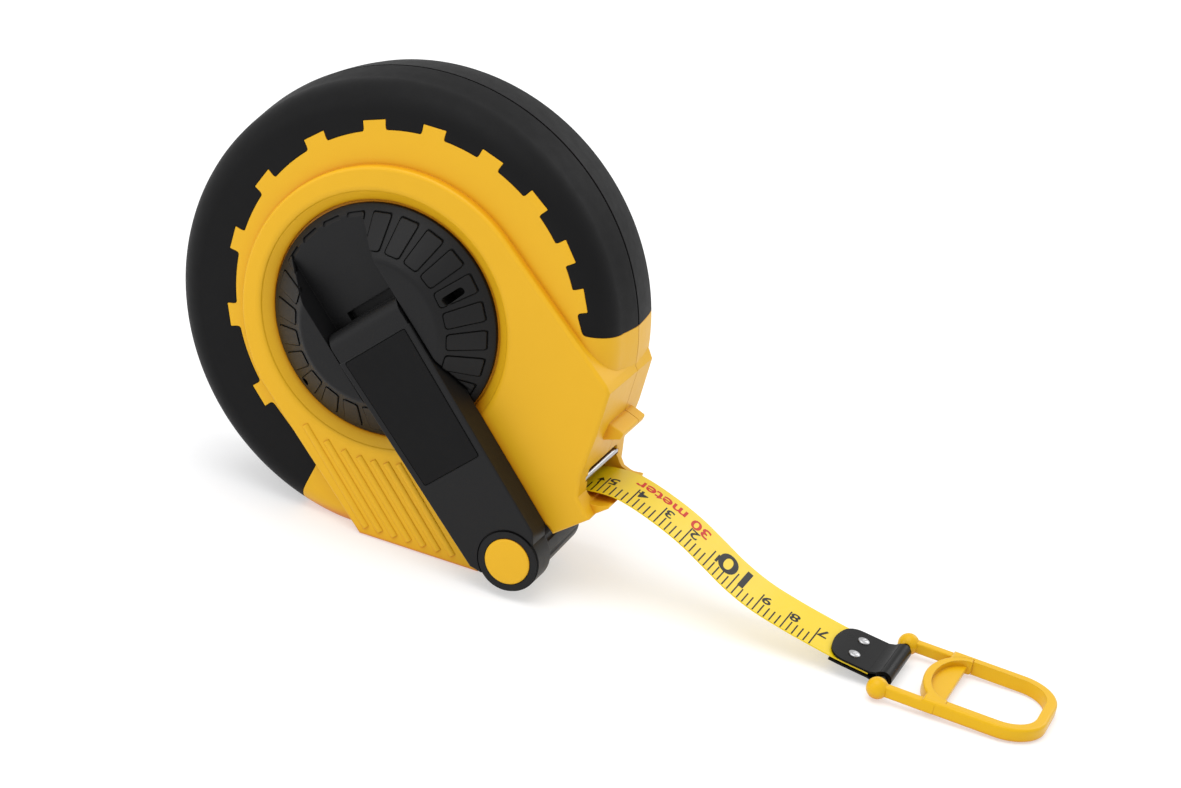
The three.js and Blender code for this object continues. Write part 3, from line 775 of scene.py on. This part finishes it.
def disc_pad(margin, under, over):
    """One pad on the cone of the disc, on the +X side: from under its face to over it."""
    inner, outer = 25.3 - margin, 34.9 + margin
    low, high = cone_height(inner - 2), cone_height(outer + 2)
    ends = [(inner - 2, low), (outer + 2, high)]
    layer = [(r, y + under) for r, y in ends] + [(r, y - over) for r, y in reversed(ends)]
    near, far = 2.3 + margin, 2.95 + margin
    corners = [(inner, -near), (outer, -far), (outer, far), (inner, near)]
    bar = prism(rounded_outline(corners, 0.9, 5), -40, -10)
    return shared(bar, turned(layer))


def crank_channel(floor=-20.1):
    return across_arm(-60, 60, -14.6, 14.6, -60, floor)


# ---- Tape shapes ----
def blade_points():
    """Middle line of the drawn-out tape, evenly spaced, from the roll to the clip."""
    off = math.radians(-66.5)
    inside = [(62.9 * math.cos(off), 62.9 * math.sin(off)), (46, -47), (62, -40.2)]
    mouth = [(71, -37.4), (79, -36.9), (84.5, -37.9)]
    droop = [(93.5, 30.3), (102.9, 26.2), (111.2, 21.4), (119.6, 16.4), (128.5, 12.4)]
    droop += [(138.4, 9.5), (148.2, 7.2), (157, 5.4), (168.6, 3.7)]
    knots = [Vector(k) for k in (*inside, *mouth, *((x, z + FLOOR) for x, z in droop))]
    knots = [knots[0] * 2 - knots[1], *knots, knots[-1] * 2 - knots[-2]]
    dense = []
    for p0, p1, p2, p3 in zip(knots, knots[1:], knots[2:], knots[3:]):
        d0, d1, d2 = ((b - a).length ** 0.5 for a, b in ((p0, p1), (p1, p2), (p2, p3)))
        m1 = ((p1 - p0) / d0 - (p2 - p0) / (d0 + d1) + (p2 - p1) / d1) * d1
        m2 = ((p2 - p1) / d1 - (p3 - p1) / (d1 + d2) + (p3 - p2) / d2) * d1
        for step in range(24):
            t = step / 24
            square, cube = p1 * -3 + p2 * 3 - m1 * 2 - m2, p1 * 2 - p2 * 2 + m1 + m2
            dense.append(p1 + m1 * t + square * t**2 + cube * t**3)
    dense.append(knots[-2])
    return dense


class TapePath:
    """Places along the tape, measured back from its end at the clip."""

    def __init__(self):
        self.points = list(reversed(blade_points()))
        self.reach = [0.0]
        for a, b in zip(self.points, self.points[1:]):
            self.reach.append(self.reach[-1] + (b - a).length)

    def at(self, distance):
        i = 0
        while i < len(self.reach) - 2 and self.reach[i + 1] < distance:
            i += 1
        t = (distance - self.reach[i]) / (self.reach[i + 1] - self.reach[i])
        point = self.points[i].lerp(self.points[i + 1], t)
        back = (self.points[i + 1] - self.points[i]).normalized()
        return point, Vector((back.y, -back.x))

    def line(self, start, stop, count):
        return [tuple(self.at(start + (stop - start) * i / (count - 1))[0]) for i in range(count)]


def bent_text(path, words, height, mark, across):
    """Letters laid on the tape: they read towards the case, with their tops to the near edge."""
    curve = bpy.data.curves.new("words", "FONT")
    curve.body = words
    curve.size = 1.0
    curve.align_x = "CENTER"
    curve.offset = 0.02
    curve.resolution_u = 5
    letters = bpy.data.objects.new("words", curve)
    bpy.context.scene.collection.objects.link(letters)
    bpy.context.view_layer.update()
    graph = bpy.context.evaluated_depsgraph_get()
    mesh = bpy.data.meshes.new_from_object(letters.evaluated_get(graph))
    bpy.data.objects.remove(letters)
    tall = max(v.co.y for v in mesh.vertices)
    scale = height / tall
    mesh.transform(Matrix.Scale(scale, 4) @ Matrix.Translation((0, -tall / 2, 0)))
    return laid_on_tape(path, mesh, mark, across)


def laid_on_tape(path, mesh, mark, across):
    """A flat mesh bent onto the tape at a millimetre mark as thin ink, its top to the near edge."""
    for vertex in mesh.vertices:
        point, normal = path.at(mark - SCALE_ZERO + vertex.co.x)
        spot = point + normal * INK_LIFT
        vertex.co = (spot.x, across - vertex.co.y, spot.y)
    piece = new_object("words", mesh)
    thicken = piece.modifiers.new("ink", "SOLIDIFY")
    thicken.thickness = 0.02
    thicken.offset = 0
    return settle(piece)


def arrow_mesh():
    """A small arrow, 5 mm long, that points to the far edge."""
    outline = [(-0.3, 2.6), (0.3, 2.6), (0.3, -0.2), (1.3, -0.2), (0, -2.6), (-1.3, -0.2), (-0.3, -0.2)]
    mesh = bpy.data.meshes.new("arrow")
    mesh.from_pydata([(x, y, 0) for x, y in outline], [], [tuple(range(len(outline)))])
    return mesh


def merged(pieces):
    """Several pieces as one mesh."""
    work = bmesh.new()
    for piece in pieces:
        work.from_mesh(piece.data)
    mesh = bpy.data.meshes.new("work")
    work.to_mesh(mesh)
    work.free()
    for piece in pieces:
        discard(piece)
    return new_object("work", mesh)


# ---- Settings ----
def colour(label, use, default):
    return FloatVectorProperty(name=label, description=use, subtype="COLOR_GAMMA", size=3, default=default)


def number(label, use, default, low, high):
    kind = IntProperty if isinstance(default, int) else FloatProperty
    return kind(name=label, description=use, default=default, min=low, max=high)


class TapeCaseSettings(bpy.types.PropertyGroup):
    """Sizes and colours of the case"""

    yellow: colour("Case colour", "Screen colour of the moulded case", (0.862, 0.66, 0.1))
    # Painted shade: the colour that hollows and corners of the case are mixed towards.
    hollow: colour("Painted shade colour", "Colour of the painted shade in hollows and corners", (0.80, 0.46, 0.03))
    rubber: colour("Rubber colour", "Screen colour of the grips", (0.06, 0.06, 0.063))
    rib_count: number("Ribs", "Grip ribs low on the front face", 7, 1, 7)
    rib_half: number("Rib half width", "Half the width of a rib, in millimetres", 1.15, 0.5, 2.0)


class TapeCrankSettings(bpy.types.PropertyGroup):
    """Sizes and colours of the crank"""

    black: colour("Crank colour", "Screen colour of disc, arm and knob", (0.082, 0.082, 0.086))
    pad_count: number("Pads", "Raised pads round the disc", 24, 8, 36)
    flute_count: number("Flutes", "Flutes along the knob", 10, 4, 14)


class TapeBladeSettings(bpy.types.PropertyGroup):
    """Print and colours of the tape"""

    yellow: colour("Tape colour", "Screen colour of the coated tape", (0.88, 0.76, 0.03))
    red: colour("Red ink", "Screen colour of the length mark", (0.74, 0.13, 0.05))
    words: StringProperty(name="Length mark", description="Length printed in red", default="30 meter")
    line: number("Line width", "Width of a division line, in millimetres", 0.46, 0.1, 1.0)


class TapeEndSettings(bpy.types.PropertyGroup):
    """Colours of the clip and ring"""

    ring: colour("Ring colour", "Screen colour of the finger ring", (0.86, 0.67, 0.05))
    clip: colour("Clip colour", "Screen colour of the end clip", (0.03, 0.03, 0.032))


class TapeStageSettings(bpy.types.PropertyGroup):
    """Light and camera"""

    lens: number("Lens", "Focal length on a 36 mm sensor", 90.37, 20.0, 300.0)
    roll: number("Roll", "Turn of the camera about its axis, in degrees", 9.97, -180.0, 180.0)
    sky: number("Sky", "Strength of the even white light", 0.85, 0.0, 10.0)
    key: number("Key light", "Power of the large overhead light, in watts", 9.0, 0.0, 1000.0)


def case_yellow():
    case = bpy.context.scene.tape_case
    # Moulded yellow with painted shade in its hollows.
    return moulded_plastic("case_yellow_moulding", case.yellow, case.hollow, 0.42)


def crank_black():
    black = bpy.context.scene.tape_crank.black
    # Painted shade: a darker black that the hollows of the crank are mixed towards.
    shade_colour = [c * 0.35 for c in black]
    return moulded_plastic("crank_black_moulding", black, shade_colour, 0.44, 2400.0, 0.00003, 0.0, 0.2)


def steel():
    return bright_steel("bright_plated_steel", 0.5, 0.24)


def grip_rubber():
    return soft_rubber("matt_grip_rubber", bpy.context.scene.tape_case.rubber)


FINISHES = {
    "case_yellow": case_yellow,
    "crank_black": crank_black,
    "polished_steel": steel,
    "grip_rubber": grip_rubber,
}


# ---- Operators ----
class TAPE_OT_case(bpy.types.Operator):
    """Build both halves of the case with their ribs"""

    bl_idname = "tape.case"
    bl_label = "Case"

    def execute(self, context):
        whole = whole_case()
        rear = shared(duplicate(whole), rear_half())
        wells = [rod(2.7, 12.5, 40, x, z, 32) for x, z in screw_places()]
        rear = without(rear, rod(30, REAR - 0.8, 40, 0, 0, 128), *wells)
        front = without(shared(whole, front_half()), crank_funnel())
        values = {"Half": context.scene.tape_case.rib_half, "Finish": case_yellow()}
        ribs = grown_by(rib_lines(), ribs_on_edges(), values)
        flatter = Matrix.Scale(0.55, 4, (0, 1, 0))
        ribs.data.transform(Matrix.Translation((0, -19.95, 0)) @ flatter @ Matrix.Translation((0, 20, 0)))
        arm_room = arm_plate([(0, 15.6), (78, 13.9)], -40, -10)
        ribs = without(ribs, arm_room)
        finished(front, "front_case", "case", "case_yellow", ["front_cover"])
        finished(rear, "rear_case", "case", "case_yellow", ["rear_cover"])
        finished(ribs, "grip_ribs", "case", "case_yellow", crease=60)
        return {"FINISHED"}


class TAPE_OT_grips(bpy.types.Operator):
    """Build the rubber grips round the rim"""

    bl_idname = "tape.grips"
    bl_label = "Rubber grips"

    def execute(self, context):
        layer = rubber_layer(0.0)
        wells = [rod(3.2, 10, 40, x, z, 32) for x, z in screw_places()]
        rear = without(shared(duplicate(layer), rear_half(RUBBER_PARTING)), *wells)
        front = shared(layer, front_half(RUBBER_PARTING))
        finished(front, "front_grip", "case", "grip_rubber", ["front_rubber_grip"])
        finished(rear, "rear_grip", "case", "grip_rubber", ["rear_rubber_grip"])
        return {"FINISHED"}


class TAPE_OT_fittings(bpy.types.Operator):
    """Build the guide bar of the mouth and the case screws"""

    bl_idname = "tape.fittings"
    bl_label = "Guide bar and screws"

    def execute(self, context):
        bar = rod(1.0, -13.6, 13.6, 70.3, -32.6, 40, 0.3)
        finished(bar, "guide_bar", "case", "polished_steel", ["mouth_guide_bar"])
        profile = [(0, -7.2), (1.3, -7.2), (1.3, 12.8), (2.4, 12.8), (2.4, 14.4), (0, 14.8)]
        head = turned(rounded_profile(profile, 0.3), segments=40)
        for angle in (0, 90):
            slot = slab(-1.6, 1.6, 13.6, 16, -0.35, 0.35)
            slot.data.transform(Matrix.Rotation(math.radians(angle), 4, "Y"))
            head = without(head, slot)
        screws = line_mesh([(x, 0, z) for x, z in screw_places()])
        grown_by(screws, copies_on_points(), {"Piece": head, "Turn": 0.7, "Finish": steel()})
        discard(head)
        nodes = [f"case_screw_{i}" for i in range(1, 6)]
        finished(screws, "case_screws", "case", "polished_steel", nodes)
        return {"FINISHED"}


class TAPE_OT_crank_disc(bpy.types.Operator):
    """Build the domed crank disc with its pads"""

    bl_idname = "tape.crank_disc"
    bl_label = "Crank disc"

    def execute(self, context):
        rounding = [(36.9, -18.1), (23.9, -28.6), (23.1, -29.15), (22.2, -29.4)]
        dome = turned([(0, -16.3), (37.2, -16.3), (37.2, -17.75), *rounding, (0, -29.4)])
        hub = turned([(SCREW_BORE, -16.5), (8, -16.5), (8, -12.9), (SCREW_BORE, -12.9)], segments=64)
        cuts = [
            crank_channel(),
            rod(1.9, -30, -10, 0, 0, 24),
            rod(SCREW_BORE, -30, -17.6, 0, 0, 40),
            rod(SCREW_BORE, -16.2, -10, 0, 0, 40),
            hinge_rod(1.8, 17.8),
            across_arm(-7.9, -5.1, -8.5, 13.4, -24, -17.6),
        ]
        keyhole = rounded_outline([(20.7, 16.0), (22.7, 14.1), (26.6, 18.5), (24.9, 20.1)], 1.0)
        cuts += [prism(keyhole, -40, -18), rod(1.3, -40, -17.2, -22, -26.2, 24)]
        values = {"Count": context.scene.tape_crank.pad_count, "Turn": 0.13, "Finish": crank_black()}
        around = grown_by(disc_pad(0.32, 0.5, 1), ring_of_copies(), values)
        disc = without(joined(dome, hub), around, *cuts)
        pads = grown_by(disc_pad(0, 2, 0.5), ring_of_copies(), values)
        pads = without(pads, crank_channel(0), prism(keyhole, -40, -18), rod(1.3, -40, -17.2, -22, -26.2, 24))
        finished(disc, "crank_disc_dome", "crank", "crank_black", ["crank_disc"])
        finished(pads, "crank_disc_pads", "crank", "crank_black")
        finished(hinge_rod(1.5, 17.4), "hinge_pin", "crank", "polished_steel", ["arm_hinge_pin"])
        return {"FINISHED"}


class TAPE_OT_crank_arm(bpy.types.Operator):
    """Build the folding arm, its thumb pad, its cap and the winding knob"""

    bl_idname = "tape.crank_arm"
    bl_label = "Crank arm and knob"

    def execute(self, context):
        kx, kz = KNOB_AXIS.x, KNOB_AXIS.z
        root, end = 14.2, 12.6
        edge = [(4, root), (ARM_LENGTH - 4, end), (ARM_LENGTH - 0.6, 10.4)]
        bar = arm_plate(edge, ARM_FRONT, ARM_BACK, 0.6)
        tip = at_knob(10, -30.9, ARM_BACK, soft=0.4)
        neck = arm_plate([(0, root - 0.4), (6, root - 0.4)], ARM_FRONT + 0.3, ARM_BACK - 0.3)
        arm = joined(bar, tip, neck, hinge_rod(4.85, root - 0.4))
        boss = at_knob(9.6, -30.9, -29, soft=0.3)
        crease = turned([(9.6, -30.95), (10.1, -30.95), (10.1, -29.9), (9.6, -29.9)], kx, kz, 96)
        arm = joined(without(arm, crease), boss)
        seat = arm_plate([(4.6, 12.2), (49.3, 11.0)], -40, -29.9, corner=0.8)
        arm = without(
            arm,
            seat,
            at_knob(7.5, -40, -28.4),
            at_knob(2.7, -40, 0, 40),
            hinge_rod(1.8, 40),
            prism([along_arm(s, n) for s, n in ((7, -16), (24, -16), (24, -13.0), (7, -13.2))], -29.2, -24),
        )
        finished(arm, "folding_arm", "arm", "crank_black", ["crank_arm"])
        pad = arm_plate([(4.8, 12.0), (49.1, 10.8)], -30.72, -29.95, 0.25, 3, 0.8)
        finished(pad, "thumb_pad", "arm", "grip_rubber", ["arm_thumb_pad"])
        top = [(0, -28.7), (7.3, -28.7), (7.3, -31.05), (7.0, -31.35), (6.2, -31.5), (0, -31.6)]
        finished(turned(top, kx, kz, 96), "yellow_cap", "arm", "case_yellow", ["knob_cap"])
        grip = rounded_profile([(0, -20), (8.6, -20), (8.0, 8.6), (5.6, 11.0), (0, 11.0)], 0.5)
        knob = without(turned(grip, kx, kz, 96), at_knob(2.8, -40, -0.6, 32))
        flute = rod(1.2, -18, 12, 9.1, 0, 24)
        values = {"Count": context.scene.tape_crank.flute_count, "Turn": 0.0, "Finish": crank_black()}
        grown_by(flute, ring_of_copies(), values)
        flute.data.transform(Matrix.Translation((kx, 0, kz)))
        knob = without(knob, flute)
        finished(knob, "fluted_knob", "knob", "crank_black", ["winding_knob"])
        return {"FINISHED"}


class TAPE_OT_blade(bpy.types.Operator):
    """Build the drawn-out tape and its printed scale"""

    bl_idname = "tape.blade"
    bl_label = "Tape and scale"

    def execute(self, context):
        settings = context.scene.tape_blade
        path = TapePath()
        line = list(reversed(path.line(0.3, path.reach[-1] - 0.3, 150)))
        finish = coated_tape("coated_tape_yellow", settings.yellow)
        black = printed_ink("black_scale_ink", (0.035, 0.035, 0.038))
        red = printed_ink("red_length_ink", settings.red)
        blade = strip(line, BLADE_HALF, -BLADE_THICK / 2, BLADE_THICK / 2)
        finished(blade, "drawn_tape", "case", "tape_print", ["tape_blade"], finish)
        points = [(p.x, 0, p.y) for p in path.points]
        middle = line_mesh(points, [(i, i + 1) for i in range(len(points) - 1)])
        values = {
            "Start": 70 - SCALE_ZERO,
            "Step": 2.0,
            "Count": 50,
            "Edge": -10.45,
            "Short": 6.6,
            "Long": 12.2,
            "Width": settings.line,
            "Lift": 0.235,
            "Finish": black,
        }
        marks = grown_by(middle, divisions_on_path(), values)
        small = [n for n in range(7, 17) if n != 10]
        text = [bent_text(path, str(n % 10), SMALL_FIGURE, 10 * n - 1.9, -0.7) for n in small]
        text.append(bent_text(path, "1", LARGE_FIGURE, 97.35, 1.4))
        text.append(bent_text(path, "0", LARGE_FIGURE, 104.5, 1.4))
        text.append(laid_on_tape(path, arrow_mesh(), 152.2, -1.5))
        metre = 100 - SCALE_ZERO
        metre_line = strip(path.line(metre - 0.17, metre + 0.17, 2), 10.4, 0.23, 0.25)
        scale = merged([marks, metre_line, *text])
        finished(scale, "scale_print", "case", "tape_print", finish=black)
        words = bent_text(path, settings.words, 5.4, 128.2, 4.6)
        finished(words, "length_print", "case", "tape_print", finish=red)
        return {"FINISHED"}


class TAPE_OT_clip(bpy.types.Operator):
    """Build the folded end clip and its rivets"""

    bl_idname = "tape.clip"
    bl_label = "End clip"

    def execute(self, context):
        path = TapePath()
        px, pz = RING_PIVOT.x, RING_PIVOT.z
        upper, halves = [], []
        for i in range(40):
            point, normal = path.at(14.9 * (1 - i / 39))
            upper.append(tuple(point + normal * 0.85))
            inward = min(1.0, max(0.0, (161.0 - point.x) / 7.0))
            halves.append(max(1.2, 11 * max(0.0, 1 - inward**2.8) ** (1 / 2.4)))
        upper += [(px - 2.6, pz + 1.25), (px - 1.2, pz + 2.1)]
        halves += [11.0, 11.0]
        under = [path.at(13.0 * (1 - i / 19)) for i in range(20)]
        lower = [*(tuple(point - normal * 0.85) for point, normal in under), (px - 1.2, pz - 2.1)]
        eye = turned([(1.5, -11), (2.6, -11), (2.6, 11), (1.5, 11)], px, pz, 64)
        clip = joined(strip(upper, halves, -0.3, 0.3), eye, strip(lower, 11.0, -0.3, 0.3))
        clip = without(clip, rod(1.5, -20, 20, px, pz, 64))
        finish = black_paint("gloss_black_paint", context.scene.tape_end.clip)
        finished(clip, "end_clip", "case", "clip_black", ["tape_end_clip"], finish)
        shank = [(0, -1.4), (1.5, -1.4), (1.5, 1.15)]
        head = [(1.85, 1.15), (1.8, 1.45), (1.35, 1.72), (0.7, 1.8), (0.55, 1.66), (0, 1.62)]
        rivet = turned([*shank, *head], segments=40)
        place = Matrix.Translation((161.8, 0, 4.7 + FLOOR)) @ Matrix.Rotation(math.radians(9.5), 4, "Y")
        rivet.data.transform(Matrix.Rotation(math.radians(90), 4, "X"))
        rivets = line_mesh([(0, -5, 0), (0, 5, 0)])
        grown_by(rivets, copies_on_points(), {"Piece": rivet, "Turn": 0.0, "Finish": steel()})
        discard(rivet)
        rivets.data.transform(place)
        finished(rivets, "clip_rivets", "case", "polished_steel", ["clip_rivet_1", "clip_rivet_2"])
        return {"FINISHED"}


class TAPE_OT_ring(bpy.types.Operator):
    """Build the finger ring"""

    bl_idname = "tape.ring"
    bl_label = "Finger ring"

    def execute(self, context):
        def loop(inset, start):
            half, end, corner = 18.6 - inset, 50.0 - inset, 13.0 - inset
            low = arc(end - corner, -half + corner, corner, -90, 0, 20)
            high = arc(end - corner, half - corner, corner, 0, 90, 20)
            return [(start, -half), *low, *high, (start, half)]

        def arch(inset):
            span = [math.radians(90 + 180 * i / 48) for i in range(49)]
            return [(21 + (11 - inset) * math.cos(a), (17.2 - inset) * math.sin(a)) for a in span]

        through = (-9, 9)
        body = level_plate(loop(0, 14.0), -1.7, 2.7, 0.9)
        body = without(body, level_plate(loop(3.4, 19.5), *through), level_plate(arch(0.4), *through))
        rim_bar = without(level_plate(arch(0), -1.7, 2.7, 0.7), level_plate(arch(2.6), *through))
        inner_side = level_plate(oblong(0, 19.6, -30, 30), *through)
        web = shared(level_plate(arch(1.2), -0.8, 0.8, 0.2, 2), inner_side)
        body = joined(body, rim_bar, web)
        half_circle = [math.pi * i / 24 for i in range(25)]
        for side in (-17.2, 17.2):
            leg = level_plate(oblong(0, 18, side - 1.5, side + 1.5), -1.6, 1.95, 0.6, 3)
            ball = turned([(3.4 * math.sin(a), -3.4 * math.cos(a)) for a in half_circle], segments=48)
            ball.data.transform(Matrix.Translation((0, side, 0)))
            body = joined(body, leg, ball)
        pin_bore = rod(1.35, -16, 16, 0, 0, 32)
        room = level_plate(oblong(-6, 9, -12.6, 12.6), *through)
        body = without(body, room, pin_bore)
        body.data.transform(Matrix.Translation(RING_PIVOT) @ Matrix.Rotation(math.radians(2.2), 4, "Y"))
        ring = context.scene.tape_end.ring
        # Painted shade: a deeper orange that the hollows of the ring are mixed towards.
        shade_colour = (0.8, 0.53, 0.03)
        finish = moulded_plastic("ring_orange_moulding", ring, shade_colour, 0.34, 1500.0, 0.000008, 0.04, 0.2)
        finished(body, "finger_ring", "ring", "ring_orange", ["end_ring"], finish)
        pin = rod(1.1, -15.6, 15.6, RING_PIVOT.x, RING_PIVOT.z, 32)
        finished(pin, "ring_pivot", "case", "polished_steel", ["ring_pin"])
        return {"FINISHED"}


class TAPE_OT_inside(bpy.types.Operator):
    """Give the pieces inside the case their finishes"""

    bl_idname = "tape.inside"
    bl_label = "Inner pieces"

    def execute(self, context):
        # The ivory moulding gets painted shade of a darker beige in its hollows.
        ivory = moulded_plastic("ivory_moulding", (0.84, 0.82, 0.76), (0.6, 0.56, 0.46), 0.5)
        coated = coated_tape("coated_tape_yellow", context.scene.tape_blade.yellow)
        moulded = ("reel_drum", "reel_flange_front", "reel_flange_rear")
        small = ("tape_anchor_wedge", "front_bush", "rear_bush")
        finishes = dict.fromkeys((*moulded, *small), ivory)
        finishes |= dict.fromkeys(("reel_axle", "crank_screw", "knob_spindle"), steel())
        finishes["wound_tape"] = coated
        for name, finish in finishes.items():
            node = frame["nodes"][name]
            node.data.materials.clear()
            node.data.materials.append(finish)
        return {"FINISHED"}


class TAPE_OT_stage(bpy.types.Operator):
    """Set the floor, the studio light and the camera"""

    bl_idname = "tape.stage"
    bl_label = "Stage"

    def execute(self, context):
        scene = context.scene
        settings = scene.tape_stage
        mesh = bpy.data.meshes.new("studio_floor")
        mesh.from_pydata([(x, y, -0.0002) for x, y in oblong(-6, 6, -6, 6)], [], [(0, 1, 2, 3)])
        mesh.materials.append(studio_floor("pale_studio_floor"))
        new_object("studio_floor", mesh)
        world = bpy.data.worlds.new("even_white_sky")
        world.use_nodes = True
        sky = world.node_tree.nodes["Background"]
        sky.inputs["Color"].default_value = (1, 1, 1, 1)
        sky.inputs["Strength"].default_value = settings.sky
        scene.world = world
        self.lamp("overhead_softbox", (-0.1, -0.25, 1.3), (0.05, 0, 0.05), 1.2, settings.key)
        self.lamp("left_softbox", (-1.1, -0.9, 0.7), (0, 0, 0.06), 0.8, settings.key * 0.35)
        self.lamp("rear_strip", (0.5, 1.1, 0.8), (0.05, 0, 0.06), 0.7, settings.key * 0.3)
        camera = bpy.data.objects.new("studio_camera", bpy.data.cameras.new("studio_camera"))
        scene.collection.objects.link(camera)
        camera.data.sensor_width = 36.0
        camera.data.lens = settings.lens
        camera.data.clip_start = 0.01
        turn, rise = math.radians(17.86), math.radians(22.60)
        forward = Vector((-math.sin(turn) * math.cos(rise), math.cos(turn) * math.cos(rise), -math.sin(rise)))
        level = Vector((math.cos(turn), math.sin(turn), 0))
        above = level.cross(forward)
        roll = math.radians(settings.roll)
        right = level * math.cos(roll) + above * math.sin(roll)
        upward = above * math.cos(roll) - level * math.sin(roll)
        axes = Matrix((right, upward, -forward)).transposed().to_4x4()
        camera.matrix_world = Matrix.Translation((0.3095, -0.7975, 0.409)) @ axes
        scene.camera = camera
        scene.view_settings.view_transform = "Standard"
        return {"FINISHED"}

    def lamp(self, name, place, target, size, power):
        data = bpy.data.lights.new(name, "AREA")
        data.shape = "DISK"
        data.size = size
        data.energy = power
        lamp = bpy.data.objects.new(name, data)
        bpy.context.scene.collection.objects.link(lamp)
        lamp.location = place
        lamp.rotation_euler = (Vector(target) - Vector(place)).to_track_quat("-Z", "Y").to_euler()


class TAPE_PT_panel(bpy.types.Panel):
    """Sizes, colours and steps of the tape measure"""

    bl_label = "Tape measure"
    bl_idname = "TAPE_PT_panel"
    bl_space_type = "VIEW_3D"
    bl_region_type = "UI"
    bl_category = "Tape"

    def draw(self, context):
        for name in GROUPS:
            settings = getattr(context.scene, name)
            box = self.layout.box()
            for label in settings.__annotations__:
                box.prop(settings, label)
        for operator in STEPS:
            self.layout.operator(operator.bl_idname)


GROUPS = {
    "tape_case": TapeCaseSettings,
    "tape_crank": TapeCrankSettings,
    "tape_blade": TapeBladeSettings,
    "tape_end": TapeEndSettings,
    "tape_stage": TapeStageSettings,
}
STEPS = (
    TAPE_OT_stage,
    TAPE_OT_case,
    TAPE_OT_grips,
    TAPE_OT_fittings,
    TAPE_OT_crank_disc,
    TAPE_OT_crank_arm,
    TAPE_OT_blade,
    TAPE_OT_clip,
    TAPE_OT_ring,
    TAPE_OT_inside,
)
CLASSES = (*GROUPS.values(), *STEPS, TAPE_PT_panel)


def register():
    for cls in CLASSES:
        bpy.utils.register_class(cls)
    for name, group in GROUPS.items():
        setattr(bpy.types.Scene, name, PointerProperty(type=group))


def unregister():
    for name in GROUPS:
        delattr(bpy.types.Scene, name)
    for cls in reversed(CLASSES):
        bpy.utils.unregister_class(cls)


def main():
    register()
    for step in STEPS:
        getattr(bpy.ops.tape, step.bl_idname.split(".")[1])()


if __name__ == "__main__":
    main()
